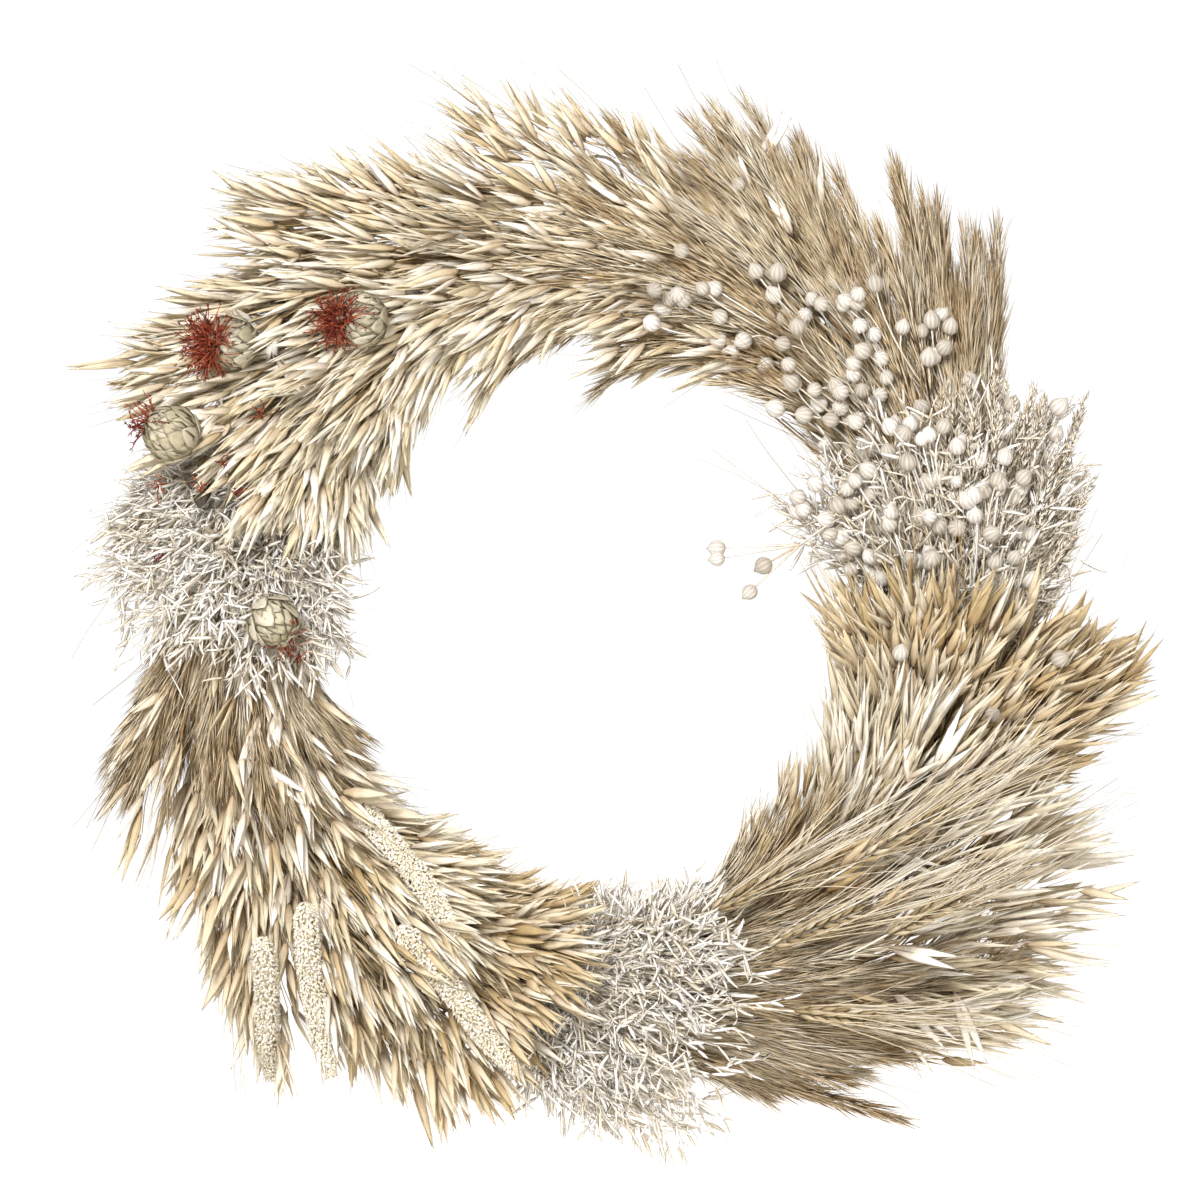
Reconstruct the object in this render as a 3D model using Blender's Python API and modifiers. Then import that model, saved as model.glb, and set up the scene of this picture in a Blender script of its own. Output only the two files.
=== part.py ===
"""Harvest door wreath: dried grass bundles bound onto a four-ring welded wire frame, with a hanging loop.

The wreath hangs in the XZ plane. The door's face is the plane Y = 0 and the wreath's front looks along -Y.
The origin is on the door's face, behind the inside of the top of the hanging loop, where the nail goes.
Sizes are in metres. Angles are measured round the ring's centre from +X towards +Z, and every bundle's
seed heads point the way that angles grow.
"""

from math import acos, atan2, cos, hypot, pi, radians, sin, sqrt, tan

import bmesh
import bpy
import numpy as np
from mathutils import Vector

# Wire frame
RING_RADIUS = 0.1775  # middle of the frame's width
FRAME_HALF_WIDTH = 0.0255  # from there to the outer and the inner ring
MID_RING_OFFSET = 0.010  # from there to the two raised rings
FRAME_RISE = 0.020  # how far the raised rings' centres stand off the door
RING_WIRE_RADIUS = 0.0016
TIE_WIRE_RADIUS = 0.0012
TIE_OVERHANG = 0.0012  # of a cross tie past the outer and the inner ring's centre
WELD_GAP = 0.0003  # between solids that touch

# Hanging loop
LOOP_WIRE_RADIUS = 0.0009
LOOP_HEIGHT = 0.057  # from its eyes' axis to the top of its wire's centre line
LOOP_HALF_WIDTH = 0.013
LOOP_EYE_HALF_SPACING = 0.007
LOOP_EYE_CLEARANCE = 0.0006  # round the ring that the eyes turn on
LOOP_TOP_STANDOFF = 0.004  # of the loop's top from the door
LOOP_EYE_SWEEP = radians(245)

# Grass bundles
BUNDLE_COUNT = 14
FIRST_TIE_ANGLE = 0.0
BUNDLE_SWEEP = radians(62)  # from the binding to the last tip
STEM_TAIL = radians(6)  # cut stem ends behind the binding
WAIST_HALF_WIDTH = 0.015
WAIST_HALF_THICKNESS = 0.0095
HEAD_HALF_THICKNESS = 0.0112
TIP_OFFSET = 0.0025  # of each fan's last tip, outwards from the middle of the frame
TIP_SHARE = 0.08  # of a bundle's length, over which its tips close in
NEST_GAP = 0.0052  # between a bundle and the one that covers it
DOME_OFFSET = 0.0175  # of the fans' crest, outwards from the middle of the frame
DOME_HALF_WIDTH = 0.045  # from the crest to where its sides turn steep
DOME_DEPTH = 0.032  # sets that steepness

# Binding wire
BINDING_RADIUS = 0.0006
BINDING_TURNS = 2
BINDING_PITCH = 0.0028
BINDING_CLEARANCE = 0.0014
BINDING_POINTS = 10  # in a turn

# Pieces laid on the fans
SEAT_GAP = 0.0006
MILLET_RADIUS = 0.0066
WHEAT_RADIUS = 0.0062
SAFFLOWER_RADIUS = 0.0125
SAFFLOWER_LENGTH = 0.031
LEAF_THICKNESS = 0.0014
LEAF_HALF_WIDTH = 0.0065
BOLL_RADIUS = 0.0038
BOLL_STEM_RADIUS = 0.0006
SPRIG_STEM_RADIUS = 0.001
SPRIG_SPREAD = 0.003  # between the heights of the loose sprig's tips

# Solids' fineness
RING_STEPS = 64
RING_SIDES = 8
BUNDLE_SIDES = 12
BUNDLE_ROWS = 10

# What follows from those
BUNDLE_STEP = 2 * pi / BUNDLE_COUNT
LIFT_PER_RADIAN = (2 * HEAD_HALF_THICKNESS + NEST_GAP) / BUNDLE_STEP
WAIST_FORWARD = FRAME_RISE + RING_WIRE_RADIUS + SEAT_GAP + WAIST_HALF_THICKNESS
LOOP_EYE_RADIUS = RING_WIRE_RADIUS + LOOP_EYE_CLEARANCE + LOOP_WIRE_RADIUS
HINGE_RADIUS = RING_RADIUS + MID_RING_OFFSET - LOOP_EYE_HALF_SPACING * tan(pi / RING_STEPS)
LOOP_TILT = atan2(FRAME_RISE - LOOP_EYE_RADIUS - LOOP_TOP_STANDOFF, LOOP_HEIGHT)
HANG_DROP = (
    HINGE_RADIUS
    - LOOP_EYE_RADIUS * sin(LOOP_TILT)
    + (LOOP_HEIGHT - LOOP_WIRE_RADIUS) * cos(LOOP_TILT)
)

# One entry for each bundle, from the first tie angle on: what it is made of, and how far its fan
# reaches outwards and inwards from the middle of the frame.
BUNDLES = (
    ("reed_and_flax", 0.0905, 0.0595),
    ("reed", 0.0975, 0.0575),
    ("reed_and_oat", 0.0885, 0.0475),
    ("pale_oat", 0.0905, 0.0415),
    ("pale_oat_safflower", 0.0985, 0.0455),
    ("left_statice", 0.0865, 0.0435),
    ("left_reed", 0.0745, 0.0375),
    ("millet_and_oat", 0.0945, 0.0395),
    ("golden_oat", 0.0985, 0.0375),
    ("lower_statice", 0.0865, 0.0375),
    ("lower_reed", 0.0965, 0.0395),
    ("pale_oat_and_wheat", 0.1275, 0.0435),
    ("right_golden_oat", 0.0985, 0.0575),
    ("flax_and_statice", 0.0825, 0.0655),
)

# Fan outline: share of the way from the stem ends to the last tip, then how far the outer and the
# inner edge have gone from the waist to their full reach, and the share of the full thickness.
FAN_OUTLINE = (
    (0.00, 0.00, 0.00, 0.00),
    (0.06, 0.00, 0.00, 0.90),
    (0.12, 0.00, 0.00, 1.00),
    (0.28, 0.56, 0.44, 1.00),
    (0.45, 0.96, 0.84, 1.00),
    (0.62, 1.00, 1.00, 0.96),
    (0.80, 0.84, 1.00, 0.80),
    (0.92, 0.52, 0.84, 0.52),
    (1.00, 0.00, 0.00, 0.00),
)

COLOURS = {
    "galvanised_wire": ((0.42, 0.42, 0.40, 1), 0.45, 0.9),
    "binding_wire": ((0.25, 0.23, 0.18, 1), 0.5, 0.8),
    "pale_oat_straw": ((0.80, 0.72, 0.54, 1), 0.75, 0.0),
    "golden_oat_straw": ((0.66, 0.50, 0.30, 1), 0.75, 0.0),
    "reed_grass": ((0.60, 0.50, 0.35, 1), 0.85, 0.0),
    "bleached_statice": ((0.84, 0.80, 0.72, 1), 0.85, 0.0),
    "bleached_flax": ((0.80, 0.77, 0.71, 1), 0.7, 0.0),
    "millet_spike": ((0.74, 0.67, 0.52, 1), 0.9, 0.0),
    "wheat_ear": ((0.62, 0.45, 0.24, 1), 0.7, 0.0),
    "safflower_head": ((0.55, 0.48, 0.30, 1), 0.8, 0.0),
    "dry_leaf": ((0.30, 0.27, 0.21, 1), 0.8, 0.0),
}

BUNDLE_MATERIAL = {
    "flax_": "bleached_flax",
    "reed": "reed_grass",
    "pale_oat": "pale_oat_straw",
    "golden_oat": "golden_oat_straw",
    "statice": "bleached_statice",
    "millet": "pale_oat_straw",
}


def remove_start_objects():
    for old in list(bpy.data.objects):
        bpy.data.objects.remove(old, do_unlink=True)


def new_collection(name):
    collection = bpy.data.collections.new(name)
    bpy.context.scene.collection.children.link(collection)
    return collection


def material(name):
    found = bpy.data.materials.get(name)
    if found:
        return found
    colour, roughness, metallic = COLOURS[name]
    made = bpy.data.materials.new(name)
    made.use_nodes = True
    shader = made.node_tree.nodes["Principled BSDF"]
    shader.inputs["Base Color"].default_value = colour
    shader.inputs["Roughness"].default_value = roughness
    shader.inputs["Metallic"].default_value = metallic
    return made


def on_wreath(angle, radius, forward):
    """The point at this angle round the ring, this far from its centre and this far in front of the door."""
    return Vector((radius * cos(angle), -forward, radius * sin(angle) - HANG_DROP))


def keep(name, mesh, collection, material_name):
    obj = bpy.data.objects.new(name, mesh)
    collection.objects.link(obj)
    mesh.materials.append(material(material_name))
    mesh.shade_smooth()
    return obj


def tube(name, points, radius, collection, material_name, sides_step=1, closed=False):
    """A round wire along these points, as a curve with a bevel and filled caps."""
    curve = bpy.data.curves.new(name, "CURVE")
    curve.dimensions = "3D"
    curve.bevel_depth = radius
    curve.bevel_resolution = sides_step
    curve.use_fill_caps = True
    spline = curve.splines.new("POLY")
    spline.points.add(len(points) - 1)
    for point, place in zip(spline.points, points):
        point.co = (*place, 1)
    spline.use_cyclic_u = closed
    obj = bpy.data.objects.new(name, curve)
    collection.objects.link(obj)
    curve.materials.append(material(material_name))
    return obj


def closed_mesh_of(obj):
    """The curve object as a mesh object in the same place, with its caps welded on."""
    bpy.context.view_layer.update()
    graph = bpy.context.evaluated_depsgraph_get()
    mesh = bpy.data.meshes.new_from_object(obj.evaluated_get(graph))
    shape = bmesh.new()
    shape.from_mesh(mesh)
    bmesh.ops.remove_doubles(shape, verts=shape.verts, dist=1e-5)
    bmesh.ops.recalc_face_normals(shape, faces=shape.faces)
    shape.to_mesh(mesh)
    shape.free()
    name, place, owner = obj.name, obj.matrix_world.copy(), obj.users_collection[0]
    bpy.data.objects.remove(obj, do_unlink=True)
    made = bpy.data.objects.new(name, mesh)
    made.matrix_world = place
    owner.objects.link(made)
    return made


def frame_ring(name, radius, forward, collection):
    """A ring of round wire: an even polygon of RING_SIDES, one side square to the door, turned about Y."""
    corner = RING_WIRE_RADIUS / cos(pi / RING_SIDES)
    shape = bmesh.new()
    for side in range(RING_SIDES):
        angle = -(side + 0.5) * 2 * pi / RING_SIDES
        shape.verts.new((radius + corner * cos(angle), -corner * sin(angle), 0))
    shape.verts.ensure_lookup_table()
    for side in range(RING_SIDES):
        shape.edges.new((shape.verts[side], shape.verts[(side + 1) % RING_SIDES]))
    mesh = bpy.data.meshes.new(name)
    shape.to_mesh(mesh)
    shape.free()
    obj = keep(name, mesh, collection, "galvanised_wire")
    obj.location = on_wreath(0, 0, forward)
    turn = obj.modifiers.new("turn", "SCREW")
    turn.axis = "Y"
    turn.angle = 2 * pi
    turn.steps = turn.render_steps = RING_STEPS
    turn.use_merge_vertices = True
    turn.merge_threshold = 0.00005
    turn.use_normal_calculate = True
    return obj


def build_frame(collection):
    frame_ring(
        "frame_outer_ring",
        RING_RADIUS + FRAME_HALF_WIDTH,
        RING_WIRE_RADIUS,
        collection,
    )
    frame_ring(
        "frame_inner_ring",
        RING_RADIUS - FRAME_HALF_WIDTH,
        RING_WIRE_RADIUS,
        collection,
    )
    frame_ring(
        "frame_raised_outer_ring",
        RING_RADIUS + MID_RING_OFFSET,
        FRAME_RISE,
        collection,
    )
    frame_ring(
        "frame_raised_inner_ring",
        RING_RADIUS - MID_RING_OFFSET,
        FRAME_RISE,
        collection,
    )
    for number in range(BUNDLE_COUNT // 2):
        angle = FIRST_TIE_ANGLE + (2 * number + 0.5) * BUNDLE_STEP
        cross_tie(f"frame_cross_tie_{number + 1}", angle, collection)


def cross_tie(name, angle, collection):
    """A wire bent to a trapezium: feet on the two rings at the door, flat top behind the raised rings."""
    low = 2 * RING_WIRE_RADIUS + WELD_GAP + TIE_WIRE_RADIUS
    high = FRAME_RISE - RING_WIRE_RADIUS - WELD_GAP - TIE_WIRE_RADIUS
    foot = FRAME_HALF_WIDTH - RING_WIRE_RADIUS - TIE_WIRE_RADIUS
    shoulder = MID_RING_OFFSET + RING_WIRE_RADIUS + TIE_WIRE_RADIUS
    bend = 0.2  # of the leg, taken by the bends at its two ends
    leg, climb = foot - shoulder, high - low
    half = (
        (shoulder - bend * leg, high),
        (shoulder + bend * leg, high - 2 * bend * climb),
        (foot - bend * leg, low + 2 * bend * climb),
        (foot + bend * leg, low),
        (FRAME_HALF_WIDTH + TIE_OVERHANG, low),
    )
    left = [(-offset, height) for offset, height in reversed(half)]
    points = [on_wreath(angle, RING_RADIUS + offset, height) for offset, height in left + list(half)]
    tube(name, points, TIE_WIRE_RADIUS, collection, "galvanised_wire")


def build_hanging_loop(collection):
    """A bail of wire: two eyes, open hooks round the raised outer ring, and a bow. Origin at the hinge."""
    up = Vector((0, sin(LOOP_TILT), cos(LOOP_TILT)))
    back = Vector((0, cos(LOOP_TILT), -sin(LOOP_TILT)))
    side = []
    eye_steps = 9
    for step in range(eye_steps):
        angle = LOOP_EYE_SWEEP * (1 - step / eye_steps)
        across = LOOP_EYE_RADIUS * (cos(angle) * back - sin(angle) * up)
        side.append(Vector((LOOP_EYE_HALF_SPACING, 0, 0)) + across)
    straight = LOOP_HEIGHT - LOOP_HALF_WIDTH
    arms = []
    for share in (0.0, 0.35, 0.7):
        spread = share * share * (3 - 2 * share)
        x = LOOP_EYE_HALF_SPACING + spread * (LOOP_HALF_WIDTH - LOOP_EYE_HALF_SPACING)
        arms.append((x, share * straight))
    bow_steps = 5
    for step in range(bow_steps + 1):
        angle = pi / 2 * step / bow_steps
        arms.append((LOOP_HALF_WIDTH * cos(angle), straight + LOOP_HALF_WIDTH * sin(angle)))
    for x, height in arms:
        side.append(Vector((x, 0, 0)) + LOOP_EYE_RADIUS * back + height * up)
    other = [Vector((-point.x, point.y, point.z)) for point in reversed(side[:-1])]
    loop = tube("hanging_loop", side + other, LOOP_WIRE_RADIUS, collection, "galvanised_wire", 2)
    loop.location = on_wreath(pi / 2, HINGE_RADIUS, FRAME_RISE)


def outline_at(share):
    """The three columns of FAN_OUTLINE at this share of the bundle's length."""
    table = np.array(FAN_OUTLINE)
    return [float(np.interp(share, table[:, 0], table[:, column])) for column in (1, 2, 3)]


def fan_edges(share, outer_reach, inner_reach):
    """The fan's outer and inner radius at this share of its length."""
    out, inwards, _ = outline_at(share)
    outer = RING_RADIUS + WAIST_HALF_WIDTH + out * (outer_reach - WAIST_HALF_WIDTH)
    inner = RING_RADIUS - WAIST_HALF_WIDTH - inwards * (inner_reach - WAIST_HALF_WIDTH)
    tip = RING_RADIUS + TIP_OFFSET
    closing = min(1, (1 - share) / TIP_SHARE)
    return tip + (outer - tip) * closing, tip + (inner - tip) * closing


def fan_thickness(share):
    """Half the fan's thickness on its middle line."""
    full = WAIST_HALF_THICKNESS
    grown = min(1, max(0, (share - 0.14) / 0.2))
    full += grown * (HEAD_HALF_THICKNESS - WAIST_HALF_THICKNESS)
    return full * outline_at(share)[2]


def dome(radius):
    """How far the fans fall back at this radius from the crest's height: a hyperbola."""
    crest = RING_RADIUS + DOME_OFFSET
    return DOME_DEPTH * (hypot(1, (radius - crest) / DOME_HALF_WIDTH) - 1)


def fan_forward(turned, radius):
    """Height of a fan's middle surface: flat over the stem ends, then climbing, less the dome's fall."""
    climb = LIFT_PER_RADIAN * max(0, turned)
    return WAIST_FORWARD + climb - dome(radius) + dome(RING_RADIUS)


def turned_at(share):
    """Angle from the binding at this share of the bundle's length."""
    return share * (BUNDLE_SWEEP + STEM_TAIL) - STEM_TAIL


def tie_angle(number):
    return FIRST_TIE_ANGLE + number * BUNDLE_STEP


def build_bundle(number, collection):
    """A fan of grass: a sphere stretched along the ring, its rows on the outline, its sections lenses."""
    kind, outer_reach, inner_reach = BUNDLES[number]
    shape = bmesh.new()
    bmesh.ops.create_uvsphere(
        shape, u_segments=BUNDLE_SIDES, v_segments=BUNDLE_ROWS, radius=1
    )
    for vert in shape.verts:
        share = 1 - acos(max(-1, min(1, vert.co.z))) / pi
        outer, inner = fan_edges(share, outer_reach, inner_reach)
        around = atan2(vert.co.y, vert.co.x)
        at_pole = hypot(vert.co.x, vert.co.y) < 1e-6
        across = 0 if at_pole else cos(around)
        through = 0 if at_pole else -sin(around)
        radius = (outer + inner) / 2 + across * (outer - inner) / 2
        turned = turned_at(share)
        forward = fan_forward(turned, radius) + through * fan_thickness(share)
        vert.co = on_wreath(tie_angle(number) + turned, radius, forward)
    name = f"bundle_{number + 1:02d}_{kind}"
    mesh = bpy.data.meshes.new(name)
    shape.to_mesh(mesh)
    shape.free()
    chosen = next(BUNDLE_MATERIAL[word] for word in BUNDLE_MATERIAL if word in kind)
    keep(name, mesh, collection, chosen)


def binding_outline():
    """Corners of the convex outline that stands clear of a bundle's waist and the two raised rings.

    Each side is the farthest line, square to its own direction, that still touches what the wire goes round.
    Every corner is where two neighbouring sides meet. Corners are (offset across the ring, height).
    """
    stand_off = BINDING_CLEARANCE + BINDING_RADIUS
    slopes = [2 * pi * side / BINDING_POINTS for side in range(BINDING_POINTS)]
    reaches = []
    for slope in slopes:
        c, s = cos(slope), sin(slope)
        waist = WAIST_FORWARD * s + hypot(WAIST_HALF_WIDTH * c, WAIST_HALF_THICKNESS * s)
        rings = FRAME_RISE * s + MID_RING_OFFSET * abs(c) + RING_WIRE_RADIUS
        reaches.append(max(waist, rings) + stand_off)
    turn = slopes[1]
    corners = []
    for side, slope in enumerate(slopes):
        here, there = reaches[side], reaches[(side + 1) % BINDING_POINTS]
        along = (there - here * cos(turn)) / sin(turn)
        corners.append(
            (here * cos(slope) - along * sin(slope), here * sin(slope) + along * cos(slope))
        )
    return corners


def build_binding(number, collection):
    """Turns of paddle wire round a bundle's waist and the two raised rings."""
    corners = binding_outline()
    total = BINDING_TURNS * BINDING_POINTS
    points = []
    for step in range(total + 1):
        across, height = corners[step % BINDING_POINTS]
        along = (step / total - 0.5) * BINDING_TURNS * BINDING_PITCH
        points.append(
            on_wreath(tie_angle(number) + along / RING_RADIUS, RING_RADIUS + across, height)
        )
    name = f"binding_wire_{number + 1:02d}"
    tube(name, points, BINDING_RADIUS, collection, "binding_wire")


def front_of(number, turned, radius):
    """Height of a bundle's front surface at this angle from its binding, or None outside its fan."""
    share = (turned + STEM_TAIL) / (BUNDLE_SWEEP + STEM_TAIL)
    _, outer_reach, inner_reach = BUNDLES[number]
    if not 0 < share < 1:
        return None
    outer, inner = fan_edges(share, outer_reach, inner_reach)
    across = (radius - (outer + inner) / 2) / max((outer - inner) / 2, 1e-6)
    if abs(across) >= 1:
        return None
    return fan_forward(turned, radius) + fan_thickness(share) * sqrt(1 - across**2)


def seat(angle, radius):
    """Height of the wreath's front surface at this angle and radius, over all the bundles."""
    heights = [WAIST_FORWARD]
    for number in range(BUNDLE_COUNT):
        turned = (angle - tie_angle(number) + pi) % (2 * pi) - pi
        height = front_of(number, turned, radius)
        if height is not None:
            heights.append(height)
    return max(heights)


def seat_near(angle, radius, reach):
    """The highest seat within reach of this point, along and across the ring."""
    steps = (-1, -0.5, 0, 0.5, 1)
    return max(
        seat(angle + a * reach / radius, radius + r * reach)
        for a in steps
        for r in steps
    )


def laid_line(start, end, half_thickness, reach, count=8):
    """Points of a straight stretch from start to end, each (degrees, offset), that rests on the fans.

    Of all the lines that no seat under them reaches, it is the one whose middle is lowest.
    """
    ends = [on_wreath(radians(angle), RING_RADIUS + offset, 0) for angle, offset in (start, end)]
    places, heights = [], []
    for step in range(count + 1):
        place = ends[0].lerp(ends[1], step / count)
        across, up = place.x, place.z + HANG_DROP
        places.append(place)
        heights.append(seat_near(atan2(up, across), hypot(across, up), reach))
    middle = count / 2
    supports = []
    for low in range(count // 2):
        for high in range(count // 2 + 1, count + 1):
            slope = (heights[high] - heights[low]) / (high - low)
            supports.append((heights[low] + slope * (middle - low), slope))
    height, slope = max(supports)
    height = max(height, heights[count // 2]) + half_thickness + SEAT_GAP
    return [
        Vector((place.x, -(height + slope * (step - middle)), place.z))
        for step, place in enumerate(places)
    ]


def spindle(name, line, radius_at, sides, collection, material_name, depth=1):
    """A body along a straight line, its radius following radius_at over the share of its length.

    Its sections are circles, or ellipses with this share of the depth.
    """
    shape = bmesh.new()
    bmesh.ops.create_uvsphere(shape, u_segments=sides, v_segments=10, radius=1)
    start, end = line[0], line[-1]
    axis = (end - start).normalized()
    out = axis.cross(Vector((0, 1, 0))).normalized()
    forward = axis.cross(out)
    for vert in shape.verts:
        share = 1 - acos(max(-1, min(1, vert.co.z))) / pi
        around = atan2(vert.co.y, vert.co.x)
        pole = hypot(vert.co.x, vert.co.y) < 1e-6
        radius = 0 if pole else radius_at(share)
        middle = start.lerp(end, share)
        vert.co = middle + radius * (cos(around) * out + depth * sin(around) * forward)
    mesh = bpy.data.meshes.new(name)
    shape.to_mesh(mesh)
    shape.free()
    return keep(name, mesh, collection, material_name)


# Start and end of each piece laid on the fans: degrees round the ring, and how far
# outwards from the middle of the frame.
MILLET_SPIKES = (
    ((223.5, 0.0535), (234.8, 0.1115)),
    ((224.0, 0.0265), (239.6, 0.0905)),
    ((217.0, -0.0235), (246.0, -0.0035)),
    ((237.0, 0.0075), (260.0, 0.0525)),
)
WHEAT_EARS = (
    ((297.0, 0.0085), (313.5, 0.0215)),
    ((316.0, 0.0005), (333.5, 0.0265)),
    ((296.0, 0.0395), (307.0, 0.0745)),
    ((291.0, -0.0165), (310.0, -0.0145)),
    ((312.0, 0.0335), (325.0, 0.0545)),
)
SAFFLOWER_HEADS = (
    ((141.2, 0.0525), (145.8, 0.0545)),
    ((126.2, 0.0085), (130.3, 0.0185)),
    ((157.2, 0.0470), (155.7, 0.0645)),
    ((178.5, -0.0085), (182.9, -0.0215)),
)
LEAVES = (
    ((138.4, 0.0475), (133.8, 0.0395)),
    ((122.8, 0.0060), (118.4, 0.0000)),
    ((160.5, 0.0420), (163.5, 0.0260)),
    ((173.2, -0.0045), (167.4, 0.0035)),
)

# The loose sprig's foot, fork and tips, in the same terms.
SPRIG_FOOT = (25.0, -0.0395)
SPRIG_FORK = (20.0, -0.0685)
SPRIG_TIPS = ((30.5, -0.1075), (17.6, -0.0895), (9.8, -0.0995))


def build_millet(collection):
    """Tapered round spikes, fullest in their lower half."""
    for number, (start, end) in enumerate(MILLET_SPIKES, 1):
        line = laid_line(start, end, MILLET_RADIUS, MILLET_RADIUS)
        spindle(
            f"millet_spike_{number}",
            line,
            lambda share: MILLET_RADIUS * min(1, 4 * share, 0.35 + 1.3 * (1 - share)),
            10,
            collection,
            "millet_spike",
        )


def build_wheat(collection):
    """Ears of wheat: square-shouldered spindles."""
    for number, (start, end) in enumerate(WHEAT_EARS, 1):
        line = laid_line(start, end, WHEAT_RADIUS, WHEAT_RADIUS)
        spindle(
            f"wheat_ear_{number}",
            line,
            lambda share: WHEAT_RADIUS * min(1, 5 * share, 0.3 + 2.2 * (1 - share)),
            8,
            collection,
            "wheat_ear",
        )


def build_safflowers(collection):
    """Seed heads: a ball of bracts at the stem end, narrowing to the tuft."""
    for number, (start, end) in enumerate(SAFFLOWER_HEADS, 1):
        line = laid_line(start, end, SAFFLOWER_RADIUS, SAFFLOWER_RADIUS)
        direction = (line[-1] - line[0]).normalized()
        middle = (line[-1] + line[0]) / 2
        half = direction * SAFFLOWER_LENGTH / 2
        spindle(
            f"safflower_head_{number}",
            [middle - half, middle + half],
            lambda share: SAFFLOWER_RADIUS * sqrt(max(0, 1 - (2.1 * share - 0.92) ** 2))
            + 0.004 * share * (1 - share),
            12,
            collection,
            "safflower_head",
        )


def build_leaves(collection):
    """Flat pointed leaves beside the safflower heads, lying on the fans."""
    for number, (start, end) in enumerate(LEAVES, 1):
        line = laid_line(start, end, LEAF_THICKNESS / 2, LEAF_HALF_WIDTH)
        spindle(
            f"safflower_leaf_{number}",
            line,
            lambda share: LEAF_HALF_WIDTH * sin(pi * share) ** 0.8,
            8,
            collection,
            "dry_leaf",
            LEAF_THICKNESS / (2 * LEAF_HALF_WIDTH),
        )


def build_loose_flax(collection, cutters):
    """Three seed capsules on fine stems that stand free inside the ring, joined as one sprig."""
    (foot_angle, foot_offset), (fork_angle, fork_offset) = SPRIG_FOOT, SPRIG_FORK
    foot_radius = RING_RADIUS + foot_offset
    height = seat_near(radians(foot_angle), foot_radius, BOLL_RADIUS) + 2 * BOLL_RADIUS
    stem_end = on_wreath(radians(foot_angle), foot_radius, height)
    fork = on_wreath(radians(fork_angle), RING_RADIUS + fork_offset, height)
    sprig = closed_mesh_of(
        tube(
            "loose_flax_sprig",
            [stem_end, fork],
            SPRIG_STEM_RADIUS,
            collection,
            "bleached_flax",
        )
    )
    for number, (angle, offset) in enumerate(SPRIG_TIPS, 1):
        tip_height = height + SPRIG_SPREAD * (number - 2)
        tip = on_wreath(radians(angle), RING_RADIUS + offset, tip_height)
        bend = fork.lerp(tip, 0.5) + Vector((0, -SPRIG_SPREAD, SPRIG_SPREAD / 2))
        stem = closed_mesh_of(
            tube(
                f"boll_stem_{number}",
                [fork, bend, tip],
                BOLL_STEM_RADIUS,
                cutters,
                "bleached_flax",
            )
        )
        stem.hide_render = True
        shape = bmesh.new()
        bmesh.ops.create_uvsphere(shape, u_segments=10, v_segments=7, radius=BOLL_RADIUS)
        mesh = bpy.data.meshes.new(f"boll_{number}")
        shape.to_mesh(mesh)
        shape.free()
        boll = bpy.data.objects.new(f"boll_{number}", mesh)
        boll.location = tip
        boll.hide_render = True
        cutters.objects.link(boll)
        for tool in (stem, boll):
            tool.display_type = "WIRE"
            joined = sprig.modifiers.new(tool.name, "BOOLEAN")
            joined.operation = "UNION"
            joined.object = tool


def main():
    remove_start_objects()
    wreath = new_collection("harvest_door_wreath")
    cutters = new_collection("helpers")
    build_frame(wreath)
    build_hanging_loop(wreath)
    for number in range(BUNDLE_COUNT):
        build_bundle(number, wreath)
        build_binding(number, wreath)
    build_millet(wreath)
    build_wheat(wreath)
    build_safflowers(wreath)
    build_leaves(wreath)
    build_loose_flax(wreath, cutters)


main()
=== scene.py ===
# Harvest door wreath: dried grasses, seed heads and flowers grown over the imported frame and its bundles.
import bpy
import math
import numpy as np
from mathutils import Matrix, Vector


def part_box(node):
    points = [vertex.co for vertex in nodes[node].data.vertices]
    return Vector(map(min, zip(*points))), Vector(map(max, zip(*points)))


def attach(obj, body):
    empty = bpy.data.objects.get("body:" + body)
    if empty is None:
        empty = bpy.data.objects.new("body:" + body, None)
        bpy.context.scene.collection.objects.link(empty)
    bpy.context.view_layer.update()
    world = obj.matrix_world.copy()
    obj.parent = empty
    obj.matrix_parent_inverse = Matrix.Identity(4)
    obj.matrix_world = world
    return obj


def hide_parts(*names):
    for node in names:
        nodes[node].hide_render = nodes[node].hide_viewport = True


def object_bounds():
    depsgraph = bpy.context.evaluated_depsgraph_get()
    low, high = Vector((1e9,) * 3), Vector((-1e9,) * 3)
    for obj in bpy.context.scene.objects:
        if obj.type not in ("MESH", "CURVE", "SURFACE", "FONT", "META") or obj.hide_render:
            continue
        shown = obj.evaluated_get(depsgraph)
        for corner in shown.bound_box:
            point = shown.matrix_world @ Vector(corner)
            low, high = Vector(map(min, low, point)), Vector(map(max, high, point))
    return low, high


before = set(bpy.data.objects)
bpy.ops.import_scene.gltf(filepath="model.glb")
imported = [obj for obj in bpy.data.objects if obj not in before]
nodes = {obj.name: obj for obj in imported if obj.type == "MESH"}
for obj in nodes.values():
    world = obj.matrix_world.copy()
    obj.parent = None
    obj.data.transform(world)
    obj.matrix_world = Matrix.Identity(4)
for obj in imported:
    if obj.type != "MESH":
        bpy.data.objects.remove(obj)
cadLow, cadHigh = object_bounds()
mm = 0.001
goldenAngle = 2.39996  # radians between one seed, bract or grain and the next
anyTurn = (0, 6.28)  # a random roll, in radians
rng = np.random.default_rng(41)


# The wreath's form, read from the CAD solids.

# A CAD mesh's points, one row each.
def nodePoints(name):
    mesh = nodes[name].data
    flat = np.empty(len(mesh.vertices) * 3, np.float32)
    mesh.vertices.foreach_get("co", flat)
    return flat.reshape(-1, 3).astype(float)


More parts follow.
